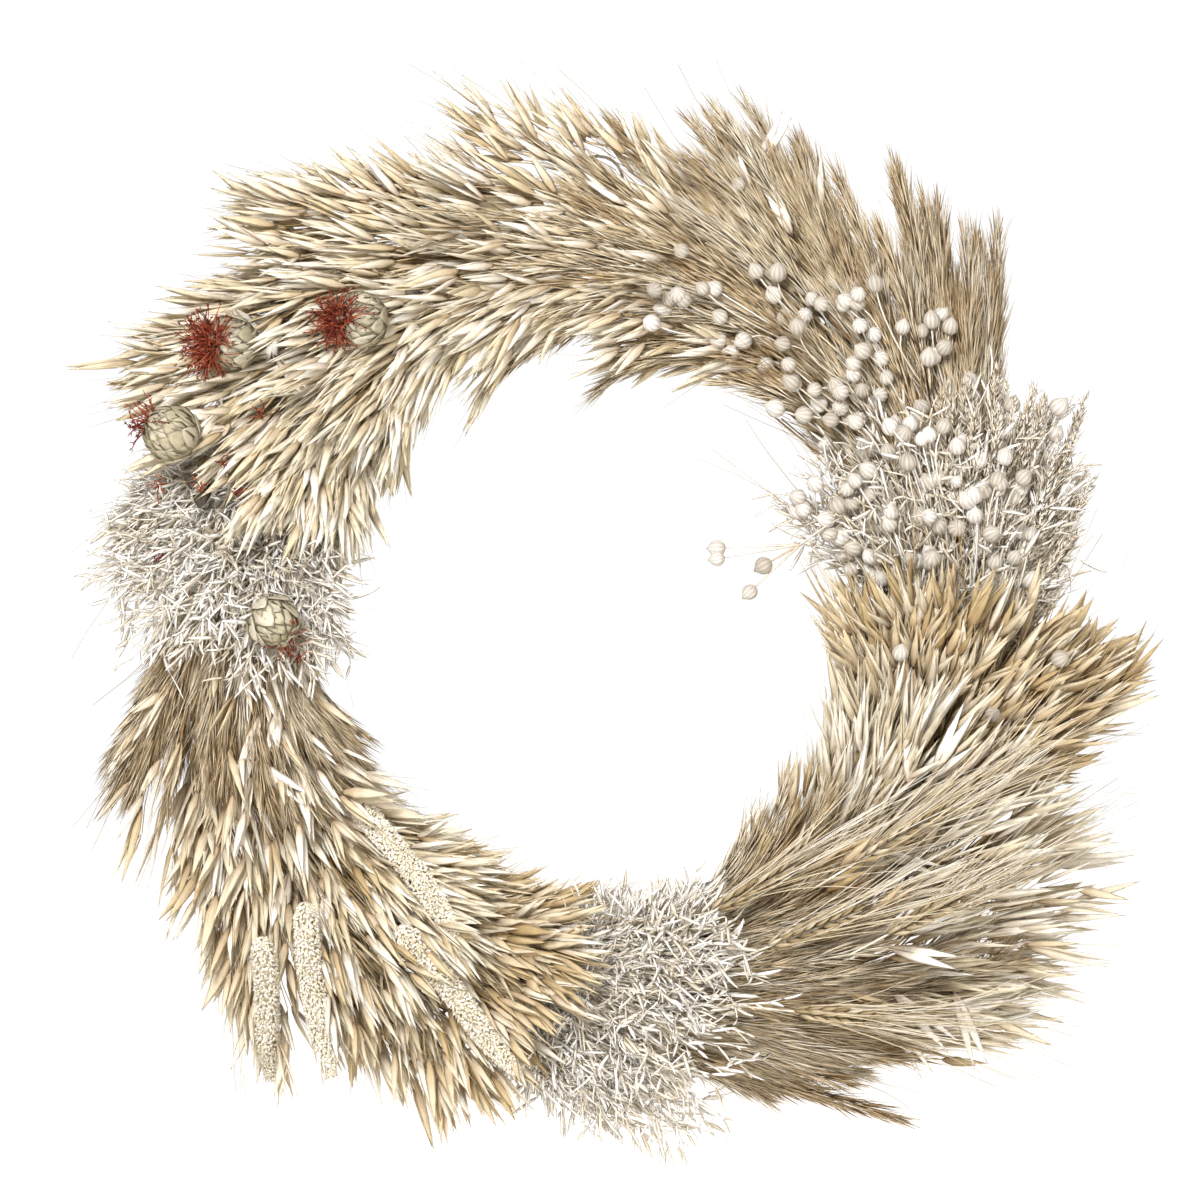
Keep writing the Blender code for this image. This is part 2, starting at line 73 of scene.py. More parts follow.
form = {
    "crest": 17.5 * mm,  # of the fans' dome, outwards from the middle of the frame
    "domeHalfWidth": 45 * mm,
    "sweep": math.radians(60),  # of a bundle's middle stems, from the binding to their tips
    "outerLoss": math.radians(13),  # how much sooner the outermost stems end
    "innerLoss": math.radians(6),
    "outerShare": 1.02,  # how much of a fan's reach its stems take; the heads on them take the rest
    "innerShare": 1.0,
    "outerPower": 1.05,  # how late the outer stems leave the middle line
    "innerPower": 1.1,
    "earlySpread": {12: 0.6, 11: 0.85},  # bundles whose outer stems spread sooner
    "waistHalfWidth": 13.5 * mm,
    "waistHalfDepth": 8.0 * mm,
    "waistRoundness": 2.3,  # how little the waist narrows towards its front and back
    "trimAhead": math.radians(4),  # a head's tip lies this far ahead of its foot
    "headHalfDepth": 11.0 * mm,
    "tailShare": 0.09,  # stem ends behind the binding
    "midLean": math.radians(12),  # the heads' lean away from the wreath's circle
    "outLean": math.radians(36),
    "inLean": math.radians(44),
}

raisedLow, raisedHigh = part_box("frame_raised_outer_ring")
innerLow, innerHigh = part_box("frame_raised_inner_ring")
wireRadius = (raisedHigh.y - raisedLow.y) / 2
ringRadius = (raisedHigh.x - raisedLow.x + innerHigh.x - innerLow.x) / 4 - wireRadius
centreX = (raisedLow.x + raisedHigh.x) / 2
centreZ = (raisedLow.z + raisedHigh.z) / 2


# Round the ring: a place's angle, its distance from the ring's axis, and how far it stands off the door.
def toRing(points):
    x, z = points[..., 0] - centreX, points[..., 2] - centreZ
    return np.arctan2(z, x), np.hypot(x, z), -points[..., 1]


# Back to x, y, z: the centre plus radius times cosine and sine, with y against the forward direction.
def fromRing(angle, radius, forward):
    return np.stack([centreX + radius * np.cos(angle), -forward, centreZ + radius * np.sin(angle)], -1)


# The difference of two angles, wrapped to half a turn either way.
def turnedFrom(tie, angle):
    return (angle - tie + math.pi) % (2 * math.pi) - math.pi


# The dome falls away from its crest as a hyperbola: root of one plus the squared distance, less one.
def hyperbola(radius):
    return np.hypot(1, (radius - ringRadius - form["crest"]) / form["domeHalfWidth"]) - 1


bundles = []
fitRows, fitHeights = [], []
for name in sorted(n for n in nodes if n.startswith("bundle_")):
    number = int(name.split("_")[1])
    low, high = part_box(f"binding_wire_{number:02d}")
    middle = np.array((low + high) / 2)
    tie = float(toRing(middle)[0])
    angle, radius, forward = toRing(nodePoints(name))
    turned = turnedFrom(tie, angle)
    ahead = turned > 0.05
    rows = [np.ones(ahead.sum()), turned[ahead], hyperbola(ringRadius) - hyperbola(radius[ahead])]
    fitRows.append(np.stack(rows, -1))
    fitHeights.append(forward[ahead])
    bundles.append({
        "name": name, "number": number, "tie": tie,
        "out": radius.max() - ringRadius, "in": ringRadius - radius.min(),
    })
# one least-squares fit over all the fans gives the waist's height, the climb per radian and the dome's fall
waistHeight, climb, fall = np.linalg.lstsq(
    np.concatenate(fitRows), np.concatenate(fitHeights), rcond=None
)[0]
print(f"form: ring {ringRadius:.4f}, waist {waistHeight:.4f}, climb {climb:.4f}, fall {fall:.4f}")


# How far a fan stands off the door: its waist's height, plus a steady climb, less the dome's fall.
def fanHeight(turned, radius):
    return waistHeight + climb * np.maximum(turned, 0) - fall * (hyperbola(radius) - hyperbola(ringRadius))


# Millimetres that the fans' edges move outwards (or inwards, if negative), at degrees round the ring.
edgeTrim = {
    "outer": {
        0: 0, 15: -13, 30: 3, 45: -14, 60: -14, 75: -9, 90: 2, 105: -8, 120: -7, 135: 0, 150: -5, 165: -6,
        180: -20, 195: 0, 210: 4, 225: -5, 240: -2, 255: -20, 270: 0, 300: 5, 315: 26, 330: -24, 345: -7,
    },
    "inner": {
        0: 0, 15: -4, 30: 0, 45: 8, 60: 15, 75: 10, 90: 18, 105: 18, 120: 10, 135: 5, 150: 0, 165: 5,
        180: 0, 195: 6, 225: 4, 240: 4, 255: 7, 270: 10, 285: 10, 300: 2, 345: 0,
    },
}


# The trim at an angle, in a straight line between its two nearest degrees.
def trimAt(angle, edge):
    trim = edgeTrim[edge]
    return np.interp(np.degrees(angle) % 360, list(trim), list(trim.values()), period=360) * mm


# A stem's place at share x of its length. Across the bundle a runs from -1 (inner) to 1 (outer), and in depth
# b runs from -1 (door side) to 1 (front). The stem turns steadily and leaves the middle line as a power of x.
def stemPlace(bundle, x, a, b):
    wide = np.abs(a)
    outer = a > 0
    sweep = form["sweep"] - np.where(outer, form["outerLoss"], form["innerLoss"]) * wide
    reach = np.where(outer, form["outerShare"] * bundle["out"], -form["innerShare"] * bundle["in"]) * wide
    outerPower = form["earlySpread"].get(bundle["number"], form["outerPower"])
    power = np.where(outer, outerPower, form["innerPower"])
    start = a * np.sqrt(np.maximum(1 - b * b / form["waistRoundness"], 0.2)) * form["waistHalfWidth"]
    opened = np.maximum(x, 0)
    radius = ringRadius + start + (reach - start) * opened ** power
    turned = x * sweep
    angle = bundle["tie"] + turned + form["trimAhead"]
    edge = np.clip(wide * opened * 1.15, 0, 1)
    radius = radius + edge * np.where(outer, trimAt(angle, "outer"), trimAt(angle, "inner"))
    grown = np.clip(opened * 3, 0, 1)
    waist = form["waistHalfDepth"] * np.sqrt(1 - a * a / form["waistRoundness"])
    depth = waist * (1 - grown) + form["headHalfDepth"] * grown
    return fromRing(bundle["tie"] + turned, radius, fanHeight(turned, radius) + b * depth)


# Each vector divided by its length.
def unit(vectors):
    return vectors / np.maximum(np.linalg.norm(vectors, axis=-1, keepdims=True), 1e-12)


# The dome's slope away from its crest: the hyperbola's own rate of change.
def domeSlope(radius):
    across = (radius - ringRadius - form["crest"]) / form["domeHalfWidth"]
    return fall / form["domeHalfWidth"] * across / np.hypot(1, across)


# The fans' outward direction at a point: the front, leaning outwards as the dome's slope does.
def outward(points):
    angle, radius, _ = toRing(points)
    slope = domeSlope(radius)
    return unit(np.stack([slope * np.cos(angle), -np.ones_like(slope), slope * np.sin(angle)], -1))


# A head's direction: along the wreath's circle, leaned outwards or inwards more towards its bundle's edges,
# and climbing with the fan's surface.
def headDirection(points, x, a):
    angle, radius, _ = toRing(points)
    opened = np.clip((x - 0.15) / 0.55, 0, 1)
    lean = opened * (form["midLean"] + np.where(a > 0, form["outLean"], form["inLean"]) * a)
    rise = climb * np.cos(lean) / radius - domeSlope(radius) * np.sin(lean)
    c, s, zero = np.cos(angle), np.sin(angle), np.zeros_like(angle)
    around, away = np.stack([-s, zero, c], -1), np.stack([c, zero, s], -1)
    front = np.stack([zero, -rise, zero], -1)
    return unit(around * np.cos(lean)[..., None] + away * np.sin(lean)[..., None] + front)


# Even random numbers between two limits.
def spread(count, low, high):
    return rng.uniform(low, high, count)


# Turns unit vectors towards two random cross directions by normal amounts, in radians.
def jittered(directions, amount):
    noise = rng.normal(0, amount, directions.shape)
    noise -= directions * (noise * directions).sum(-1, keepdims=True)
    return unit(directions + noise)


# A head's direction raised towards the front by a random share between two limits, and strayed.
def raisedDirection(points, x, a, lift, stray):
    rise = outward(points) * spread(len(points), *lift)[:, None]
    return jittered(unit(headDirection(points, x, a) + rise), stray)


# Up to a right angle with the direction, turned round it by a random roll within the limit.
def crossFrame(along, towards, roll):
    side = unit(np.cross(along, towards))
    up = np.cross(side, along)
    c, s = np.cos(roll)[:, None], np.sin(roll)[:, None]
    return side * c + up * s, up * c - side * s


# Shapes, and heaps of them joined in one mesh.

# A closed body between two poles: each row (share along, half width, half depth) scales a section's points,
# which are (across, outwards).
def bodyShape(rows, section):
    sides, last = len(section), 1 + len(rows) * len(section)
    along = [0.0] + [t for t, _, _ in rows for _ in section] + [1.0]
    across = [0.0] + [w * u for _, w, _ in rows for u, _ in section] + [0.0]
    out = [0.0] + [d * n for _, _, d in rows for _, n in section] + [0.0]
    faces, uvs = [], []
    for i in range(sides):
        j, u0, u1 = (i + 1) % sides, i / sides, (i + 1) / sides
        faces.append((0, 1 + i, 1 + j))
        uvs.append(((u0, 0), (u0, rows[0][0]), (u1, rows[0][0])))
        for r in range(len(rows) - 1):
            p, q, v0, v1 = 1 + r * sides, 1 + (r + 1) * sides, rows[r][0], rows[r + 1][0]
            faces += [(p + i, q + j, p + j), (p + i, q + i, q + j)]
            uvs += [((u0, v0), (u1, v1), (u1, v0)), ((u0, v0), (u0, v1), (u1, v1))]
        p = last - sides
        faces.append((p + j, p + i, last))
        uvs.append(((u1, rows[-1][0]), (u0, rows[-1][0]), (u0, 1)))
    return {
        "along": np.array(along), "across": np.array(across), "out": np.array(out),
        "faces": np.array(faces), "uvs": np.array(uvs, float),
    }


# A circle's points: cosine and sine of equal turns.
def ringSection(sides):
    turns = np.arange(sides) * 2 * math.pi / sides
    return [(math.cos(t), math.sin(t)) for t in turns]


# Each body: base + along * length * share + side * width + up * depth, bent by up * bow * share squared.
def placeBodies(shape, base, along, side, up, length, width, depth, bow=0.0):
    sizes = (np.broadcast_to(v, len(base))[:, None, None] for v in (length, width, depth, bow))
    length, width, depth, bow = sizes
    t, u, n = (shape[k][None, :, None] for k in ("along", "across", "out"))
    return (
        base[:, None] + along[:, None] * (t * length) + side[:, None] * (u * width)
        + up[:, None] * (n * depth + bow * t * t)
    )


# A body of equal rings and two poles, for placeTubes to lay along a path.
def tubeShape(rows, sides):
    shape = bodyShape([(i / (rows - 1), 1, 1) for i in range(rows)], ringSection(sides))
    return {**shape, "sides": sides}


# Tubes along paths of equal point counts: a circle square to the path at each point, and a pole at each end.
def placeTubes(shape, paths, radii):
    tangent = unit(np.gradient(paths, axis=1))
    whole = unit(paths[:, -1] - paths[:, 0])
    helper = np.where(np.abs(whole[:, 1:2]) < 0.8, [[0.0, 1.0, 0.0]], [[1.0, 0.0, 0.0]])
    side = unit(np.cross(tangent, helper[:, None]))
    up = np.cross(side, tangent)
    turns = np.arange(shape["sides"]) * 2 * math.pi / shape["sides"]
    radii = np.broadcast_to(radii, paths.shape[:2])[:, :, None, None]
    rings = (
        paths[:, :, None] + radii * (side[:, :, None] * np.cos(turns)[None, None, :, None]
        + up[:, :, None] * np.sin(turns)[None, None, :, None])
    )
    rings = rings.reshape(len(paths), -1, 3)
    return np.concatenate([paths[:, :1], rings, paths[:, -1:]], axis=1)


# Paths that bend evenly: the first direction times t, and its change to the last times bend and t squared.
def bentPaths(start, length, first, last, points, bend=0.5):
    t = np.linspace(0, 1, points)[None, :, None]
    change = (last - first)[:, None] * t * t * bend
    return start[:, None] + length[:, None, None] * (first[:, None] * t + change)


# A tube's shares of its radius: one at its start, less an even loss to its end.
def tapered(points, loss):
    return 1 - loss * np.linspace(0, 1, points)[None]


# Directions square to an axis: one side times the cosine of each turn, and the other times its sine.
def turnedRays(side, up, turn):
    return side * np.cos(turn)[:, None] + up * np.sin(turn)[:, None]


room = {"share": 0.028, "margin": 9 * mm}  # past the CAD solids' box: a share of its sides, and a margin
loopRoom = {"aside": 9 * mm, "above": 12 * mm, "front": 0.58, "back": 0.55}  # the last two of its height
size = np.array(cadHigh) - np.array(cadLow)
roomLow = np.array(cadLow) - size * room["share"] - room["margin"]
roomHigh = np.array(cadHigh) + size * room["share"] + room["margin"]
loopLow, loopHigh = (np.array(v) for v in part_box("hanging_loop"))
loopReach = loopHigh[2] - loopLow[2]  # the loop swings by about half of it either way
loopLow = loopLow - [loopRoom["aside"], loopReach * loopRoom["front"], loopRoom["aside"]]
loopHigh = loopHigh + [loopRoom["aside"], loopReach * loopRoom["back"], loopRoom["above"]]


# An empty heap: what it holds, in lists, and its vertex count.
def newHeap():
    return {"verts": [], "faces": [], "uvs": [], "tint": [], "count": 0}


# Bodies that would leave the room round the CAD solids, or stand in the loop's way, are dropped.
def pile(heap, shape, verts, tint):
    inside = ((verts > roomLow) & (verts < roomHigh)).all((1, 2))
    inside &= ~((verts > loopLow) & (verts < loopHigh)).all(2).any(1)
    verts, tint = verts[inside], np.broadcast_to(tint, len(verts))[inside]
    count, each = verts.shape[:2]
    if not count:
        return
    faces = shape["faces"][None] + (heap["count"] + np.arange(count) * each)[:, None, None]
    heap["verts"].append(verts.reshape(-1, 3))
    heap["faces"].append(faces.reshape(-1, 3))
    heap["uvs"].append(np.broadcast_to(shape["uvs"], (count, *shape["uvs"].shape)).reshape(-1, 2))
    heap["tint"].append(np.repeat(tint, each))
    heap["count"] += count * each


# Bodies placed and piled in one step.
def pileBodies(heap, shape, *placing, tint):
    pile(heap, shape, placeBodies(shape, *placing), tint)


# Tubes placed and piled in one step.
def pileTubes(heap, shape, paths, radii, tint):
    pile(heap, shape, placeTubes(shape, paths, radii), tint)


# An object in the scene.
def addObject(name, data):
    obj = bpy.data.objects.new(name, data)
    bpy.context.scene.collection.objects.link(obj)
    return obj


# Joins a heap's lists in one mesh at the origin, with its body and what it stands for.
def putPiece(name, heap, material, body="wreath", standsFor=()):
    verts, faces = np.concatenate(heap["verts"]), np.concatenate(heap["faces"])
    mesh = bpy.data.meshes.new(name)
    mesh.vertices.add(len(verts))
    mesh.vertices.foreach_set("co", verts.astype(np.float32).ravel())
    mesh.loops.add(faces.size)
    mesh.loops.foreach_set("vertex_index", faces.astype(np.int32).ravel())
    mesh.polygons.add(len(faces))
    mesh.polygons.foreach_set("loop_start", np.arange(0, faces.size, 3, dtype=np.int32))
    mesh.polygons.foreach_set("use_smooth", np.ones(len(faces), bool))
    mesh.uv_layers.new(name="shape").data.foreach_set(
        "uv", np.concatenate(heap["uvs"]).astype(np.float32).ravel())
    tint = mesh.attributes.new("tint", "FLOAT", "POINT")
    tint.data.foreach_set("value", np.concatenate(heap["tint"]).astype(np.float32))
    mesh.update(calc_edges=True)
    mesh.materials.append(material)
    obj = addObject(name, mesh)
    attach(obj, body)
    if standsFor:
        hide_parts(*standsFor)
    print(f"{name}: {len(faces)} triangles")


# Materials.

# sRGB to linear: a twelfth near black, else the power 2.4 of the value lifted by 0.055.
def linear(hexColour):
    parts = [int(hexColour[i:i + 2], 16) / 255 for i in (1, 3, 5)]
    return (*[c / 12.92 if c <= 0.04045 else ((c + 0.055) / 1.055) ** 2.4 for c in parts], 1)


# A shader node with its settings, by name or socket, and its links, by socket or number as i0, i1.
def addNode(tree, kind, settings=None, **links):
    node = tree.nodes.new("ShaderNode" + kind)
    for key, value in (settings or {}).items():
        if isinstance(key, str) and hasattr(node, key):
            setattr(node, key, value)
        else:
            node.inputs[key].default_value = value
    for key, source in links.items():
        tree.links.new(source, node.inputs[int(key[1:]) if key[0] == "i" and key[1:].isdigit() else key])
    return node


# A material with its shader's settings, its node tree and its shader.
def newMaterial(name, settings):
    material = bpy.data.materials.new(name)
    material.use_nodes = True
    shader = material.node_tree.nodes["Principled BSDF"]
    for key, value in settings.items():
        shader.inputs[key].default_value = value
    return material, material.node_tree, shader


# A colour ramp: straight lines between the colours at their places.
def ramp(tree, source, stops):
    node = addNode(tree, "ValToRGB", None, i0=source)
    band = node.color_ramp
    for place, colour in stops[2:]:
        band.elements.new(place)
    for element, (place, colour) in zip(sorted(band.elements, key=lambda e: e.position), sorted(stops)):
        element.position = place
        element.color = linear(colour)
    return node.outputs[0]


tissueLook = {"Roughness": 0.62, "IOR": 1.47, "Specular IOR Level": 0.35}


# Dried plant tissue. Its tint picks one of the plant's own shades. Towards its foot it darkens to a colour
# that is partly its own tan and partly painted shade of the gaps between heads. Fine veins run along it, and
# faint blotches of age cross it. Cellulose: IOR about 1.47, rough, no metal.
def driedMaterial(name, shades, footTanAndGapShade, veins=9, veinDark=0.93, footTanAndShadeAmount=0.7):
    material, tree, shader = newMaterial(name, tissueLook)
    tint = addNode(tree, "Attribute", {"attribute_name": "tint"}).outputs["Fac"]
    uv = addNode(tree, "SeparateXYZ", None, i0=addNode(tree, "UVMap", {"uv_map": "shape"}).outputs[0])
    own = ramp(tree, tint, [(i / (len(shades) - 1), s) for i, s in enumerate(shades)])
    # painted shade: each piece darkens towards its foot, partly its own tan, partly the shade in the gaps
    # between heads
    footTanAndShadeMix = addNode(tree, "MapRange", {"To Min": footTanAndShadeAmount, "To Max": 0.0, "From Max": 0.6}, i0=uv.outputs[1])
    shaded = addNode(tree, "Mix", {"data_type": "RGBA", "blend_type": "MIX"}, i0=footTanAndShadeMix.outputs[0], i6=own)
    shaded.inputs[7].default_value = linear(footTanAndGapShade)
    place = addNode(tree, "TexCoord").outputs["Object"]
    blotch = addNode(tree, "TexNoise", {"Scale": 1 / (6 * mm), "Detail": 2.0}, Vector=place)
    aged = addNode(tree, "MapRange", {"From Min": 0.3, "From Max": 0.7, "To Min": 0.86, "To Max": 1.08},
                   i0=blotch.outputs["Fac"])
    stripe = addNode(tree, "Math", {"operation": "SINE"}, i0=addNode(
        tree, "Math", {"operation": "MULTIPLY_ADD", 1: veins * 2 * math.pi, 2: -math.pi / 2},
        i0=uv.outputs[0]).outputs[0])
    veinShade = addNode(tree, "MapRange", {"From Min": -1.0, "To Min": veinDark, "To Max": 1.03},
                        i0=stripe.outputs[0])
    both = addNode(tree, "Math", {"operation": "MULTIPLY"}, i0=aged.outputs[0], i1=veinShade.outputs[0])
    final = addNode(tree, "VectorMath", {"operation": "SCALE"}, i0=shaded.outputs[2], Scale=both.outputs[0])
    tree.links.new(final.outputs[0], shader.inputs["Base Color"])
    bump = addNode(tree, "Bump", {"Strength": 0.35, "Distance": 0.12 * mm}, Height=stripe.outputs[0])
    tree.links.new(bump.outputs[0], shader.inputs["Normal"])
    return material


# Oats: pairs of boat-shaped papery glumes, each pair on its own thread.

glumeShape = bodyShape(
    [(0.13, 0.58, 0.7), (0.33, 1.0, 1.0), (0.60, 0.74, 0.7), (0.84, 0.30, 0.3)],
    [(1, 0), (0.52, 0.72), (-0.52, 0.72), (-1, 0), (0, 0.16)])
fineShape = bodyShape([(0.35, 1, 1)], ringSection(3))
threadShape = tubeShape(3, 3)
stalkShape = tubeShape(7, 4)


# Places over one fan's visible part and its two edges, as (x, a, b) for stemPlace.
def headPlaces(count, xLow, xHigh, frontShare=0.66, aLow=-1.0, aHigh=1.0):
    front = rng.random(count) < frontShare
    x = xLow + (xHigh - xLow) * rng.beta(1.5, 1.2, count)
    x = np.where(front, x, xLow - 0.06 + (xHigh - xLow + 0.1) * rng.random(count))
    a = spread(count, aLow, aHigh)
    edge = np.sign(a) * (1 - rng.beta(1.2, 4, count))
    a = np.where(front, a, np.clip(edge, aLow, aHigh))
    behind = np.clip((x + 0.2) * 1.6, 0.4, 1)  # how deep a fan is at its edges
    b = np.where(front, spread(count, 0.25, 1.25), spread(count, -2.4, 1.0) * behind)
    return x, a, b


# Each spikelet is two glumes that gape by a small angle from one foot, and some carry an awn. Its thread runs
# from under the head to that foot, by a raised point midway.
def growOats(heap, threads, bundle, count, oat, xLow=0.40, xHigh=1.1, **where):
    x, a, b = headPlaces(count, xLow, xHigh, **where)
    base = stemPlace(bundle, x, a, b)
    out = outward(base)
    along = raisedDirection(base, x, a, oat["lift"], oat["stray"])
    size = rng.normal(1, 0.16, count).clip(0.62, 1.4)
    broad = np.where(rng.random(count) < 0.10, spread(count, 1.15, 1.5), 1.0)  # a few big papery ones
    length = oat["length"] * size * np.sqrt(broad)
    # painted shade: heads set deeper in the fan, towards the door, get a slightly darker tint
    tint = np.clip(rng.beta(1.5, 1.7, count) * 0.92 + 0.05 * b, 0, 1)
    side, up = crossFrame(along, out, rng.normal(0, 0.7, count))
    gape = spread(count, *oat["gape"])[:, None]
    for turn in (1, -1):
        leaf = unit(along + up * gape * turn)
        leafUp = np.cross(side, leaf) * turn
        width = oat["width"] / 2 * spread(count, 0.72, 1.12) * broad
        pileBodies(heap, glumeShape, base, leaf, side * turn, leafUp, length * spread(count, 0.9, 1.08),
                   width, width * spread(count, 0.5, 0.85), -length * spread(count, 0.0, 0.07), tint=tint)
    bearded = rng.random(count) < oat["awned"]
    awn, reach = jittered(along[bearded], 0.07), length[bearded]
    pileBodies(heap, fineShape, base[bearded], awn, side[bearded], up[bearded],
               reach * spread(len(reach), 1.2, 1.65), oat["awn"], oat["awn"], -reach * 0.1,
               tint=tint[bearded] * 0.6)
    back = stemPlace(bundle, x - spread(count, 0.07, 0.16), a * 0.94, b - spread(count, 0.2, 0.6))
    bend = (base + back) / 2 + out * spread(count, -1, 3)[:, None] * mm
    pileTubes(threads, threadShape, np.stack([back, bend, base], 1), oat["thread"], tint)


# Stems: straw from the cut ends, through the binding, to under the heads.

straw = {"count": 210, "radius": 0.85 * mm, "rows": 9}
strawShape = tubeShape(straw["rows"], 4)


# Stems fill the bundle's round waist evenly, by the root of a random share, and follow stemPlace to their
# ends. Those on the door side spread backwards as they go.
def growStraw(heap, bundle):
    count = straw["count"]
    turn, far = spread(count, 0, 2 * math.pi), np.sqrt(rng.random(count))
    a, b = far * np.cos(turn), far * np.sin(turn)
    start = -form["tailShare"] * spread(count, 0.55, 1.25)
    end = spread(count, 0.55, 0.92)
    share = np.linspace(0, 1, straw["rows"])[None]
    x = start[:, None] + (end - start)[:, None] * share
    deep = b[:, None] * (1 + np.where(b < 0, 1.5, 0)[:, None] * np.clip(x / 0.4, 0, 1))
    paths = stemPlace(bundle, x, np.broadcast_to(a[:, None], x.shape), deep)
    paths = paths + rng.normal(0, 0.5 * mm, paths.shape) * np.clip(x, 0, 1)[..., None]
    thin = straw["radius"] * spread(count, 0.6, 1.1)[:, None] * tapered(straw["rows"], 0.45)
    pileTubes(heap, strawShape, paths, thin, rng.random(count))


# Plumes: fine blades that lie close along a stalk.

reed = {"blades": 250, "blade": 24 * mm, "bladeWidth": 0.95 * mm, "lean": (0.04, 0.28),
        "plumeRadius": 3.2 * mm, "length": (62, 100), "stray": 0.08}
fineGrass = {"blades": 170, "blade": 19 * mm, "bladeWidth": 0.6 * mm, "lean": (0.05, 0.5),
             "plumeRadius": 3.5 * mm, "length": (55, 85), "stray": 0.16}
heather = {"blades": 210, "blade": 7.5 * mm, "bladeWidth": 1.3 * mm, "lean": (0.15, 0.8),
           "plumeRadius": 2.2 * mm, "length": (55, 88), "stray": 0.22}
bladeShape = bodyShape([(0.38, 1, 1)], [(1, 0), (0, 0.7), (-1, 0)])


# A plume's axis leaves in its stem's direction and bends evenly into its head's. Its blades start round the
# axis, within a radius that tapers as a sine to both ends, and lean away from it. It has no threads.
def growPlumes(heap, threads, bundle, plumes, plume, xLow=0.2, xHigh=0.62, frontShare=0.75, **where):
    blades = plume["blades"]
    x, a, b = headPlaces(plumes, xLow, xHigh, frontShare, **where)
    start = stemPlace(bundle, x, a * 0.92, b)
    first = headDirection(start, x, a * 0.7)
    length = (spread(plumes, *plume["length"]) * mm)[:, None, None]
    end = start + first * length[:, 0]
    last = raisedDirection(end, x + 0.4, a, (-0.1, 0.25), 0.09)
    q = rng.beta(1.1, 1.25, (plumes, blades))[..., None] * 0.9
    axis = start[:, None] + length * (first[:, None] * q + (last - first)[:, None] * q * q / 2)
    along = unit(first[:, None] + (last - first)[:, None] * q)
    axis, along, q = axis.reshape(-1, 3), along.reshape(-1, 3), q.ravel()
    total = len(q)
    _, upwards = crossFrame(along, outward(axis), spread(total, 0, 2 * math.pi))
    taper = np.sin(math.pi * np.clip(q * 0.9 + 0.14, 0, 1))
    base = axis + upwards * (plume["plumeRadius"] * taper * np.sqrt(rng.random(total)))[:, None]
    lean = spread(total, *plume["lean"]) * (0.5 + 0.5 * taper)
    leaf = jittered(unit(along + upwards * lean[:, None]), plume["stray"])
    side, up = crossFrame(leaf, upwards, rng.normal(0, 0.5, total))
    size = plume["blade"] * spread(total, 0.55, 1.25) * (0.7 + 0.3 * taper)
    verts = placeBodies(
        bladeShape, base, leaf, side, up, size, plume["bladeWidth"] / 2 * spread(total, 0.7, 1.3),
        plume["bladeWidth"] * 0.4, -size * spread(total, -0.04, 0.08))
    # painted light and shade: blades facing the front get a lighter tint, those at a plume's sides and back a
    # darker one
    paintedFacingLight = 0.5 + 0.5 * (upwards * outward(axis)).sum(-1)  # blades at a plume's sides and back are darker
    tint = np.repeat(rng.random(plumes), blades) * 0.35 + rng.random(total) * 0.25 + 0.4 * paintedFacingLight
    pile(heap, bladeShape, verts, tint)


# Bleached statice: crooked scaly twigs in a loose mat.

statice = {"step": 5.2 * mm, "points": 4, "radius": 0.5 * mm, "crook": 0.24, "lift": (-0.15, 0.6),
           "stray": 0.42, "strip": (4.5, 19), "stripHalfWidth": (0.6, 1.25), "stripHalfDepth": 0.35 * mm,
           "curl": (0.1, 0.5)}
twigShape = tubeShape(statice["points"], 3)
stripShape = bodyShape([(0.2, 0.8, 1), (0.55, 1, 1), (0.84, 0.6, 0.8)], [(1, 0), (0, 1), (-1, 0)])


# Each joint of a twig turns off its last heading by a normal amount. Flat strips, the dry wings of its stems,
# leave every joint and curl by a share of their own length. It has no threads.
def growStatice(heap, threads, bundle, count, statice, xLow=0.4, xHigh=1.06, **where):
    x, a, b = headPlaces(count, xLow, xHigh, 0.8, **where)
    x = xLow + (x - xLow) * spread(count, 0.68, 1.0)
    place = stemPlace(bundle, x, a, b)
    heading = raisedDirection(place, x, a, statice["lift"], statice["stray"])
    points = [place]
    for _ in range(statice["points"] - 1):
        heading = jittered(heading, statice["crook"])
        points.append(points[-1] + heading * (statice["step"] * spread(count, 0.7, 1.4))[:, None])
    paths = np.stack(points, 1)
    thick = statice["radius"] * spread(count, 0.7, 1.3)[:, None] * rng.uniform(0.7, 1.2, paths.shape[:2])
    tint = rng.random(count)
    pileTubes(heap, twigShape, paths, thick, tint)
    foot = paths[:, 1:].reshape(-1, 3)
    total = len(foot)
    along = jittered(unit(np.diff(paths, axis=1).reshape(-1, 3)), 0.5)
    side, up = crossFrame(along, outward(foot), rng.normal(0, 0.75, total))
    length = spread(total, *statice["strip"]) * mm
    pileBodies(
        heap, stripShape, foot, along, side, up, length, spread(total, *statice["stripHalfWidth"]) * mm,
        statice["stripHalfDepth"], length * spread(total, *statice["curl"]) * rng.choice([-1, 1], total),
        tint=np.repeat(tint, statice["points"] - 1) * 0.6 + rng.random(total) * 0.4)


# Flax: ribbed round capsules on fine branching stalks.

flax = {"radius": 4.3 * mm, "ribs": 10, "ribDepth": 0.09, "stalk": 0.5 * mm, "sepals": 5}


# A sphere: along is minus the cosine and the width the sine of the polar angle, dipped along each seam.
def bollShape(rows, sides):
    shape = bodyShape([(i / (rows - 1), 1, 1) for i in range(1, rows - 1)], ringSection(sides))
    polar = shape["along"] * math.pi
    around = np.arctan2(shape["out"], shape["across"])
    dips = 1 - flax["ribDepth"] * np.abs(np.cos(around * flax["ribs"] / 2)) ** 4 * np.sin(polar)
    point = 0.32 * np.clip((shape["along"] - 0.84) / 0.16, 0, 1) ** 1.4
    wide = np.sin(polar) * dips
    shape["across"], shape["out"] = wide * np.cos(around), wide * np.sin(around)
    shape["along"] = -np.cos(polar) + point
    return shape


capsuleShape = bollShape(9, 20)


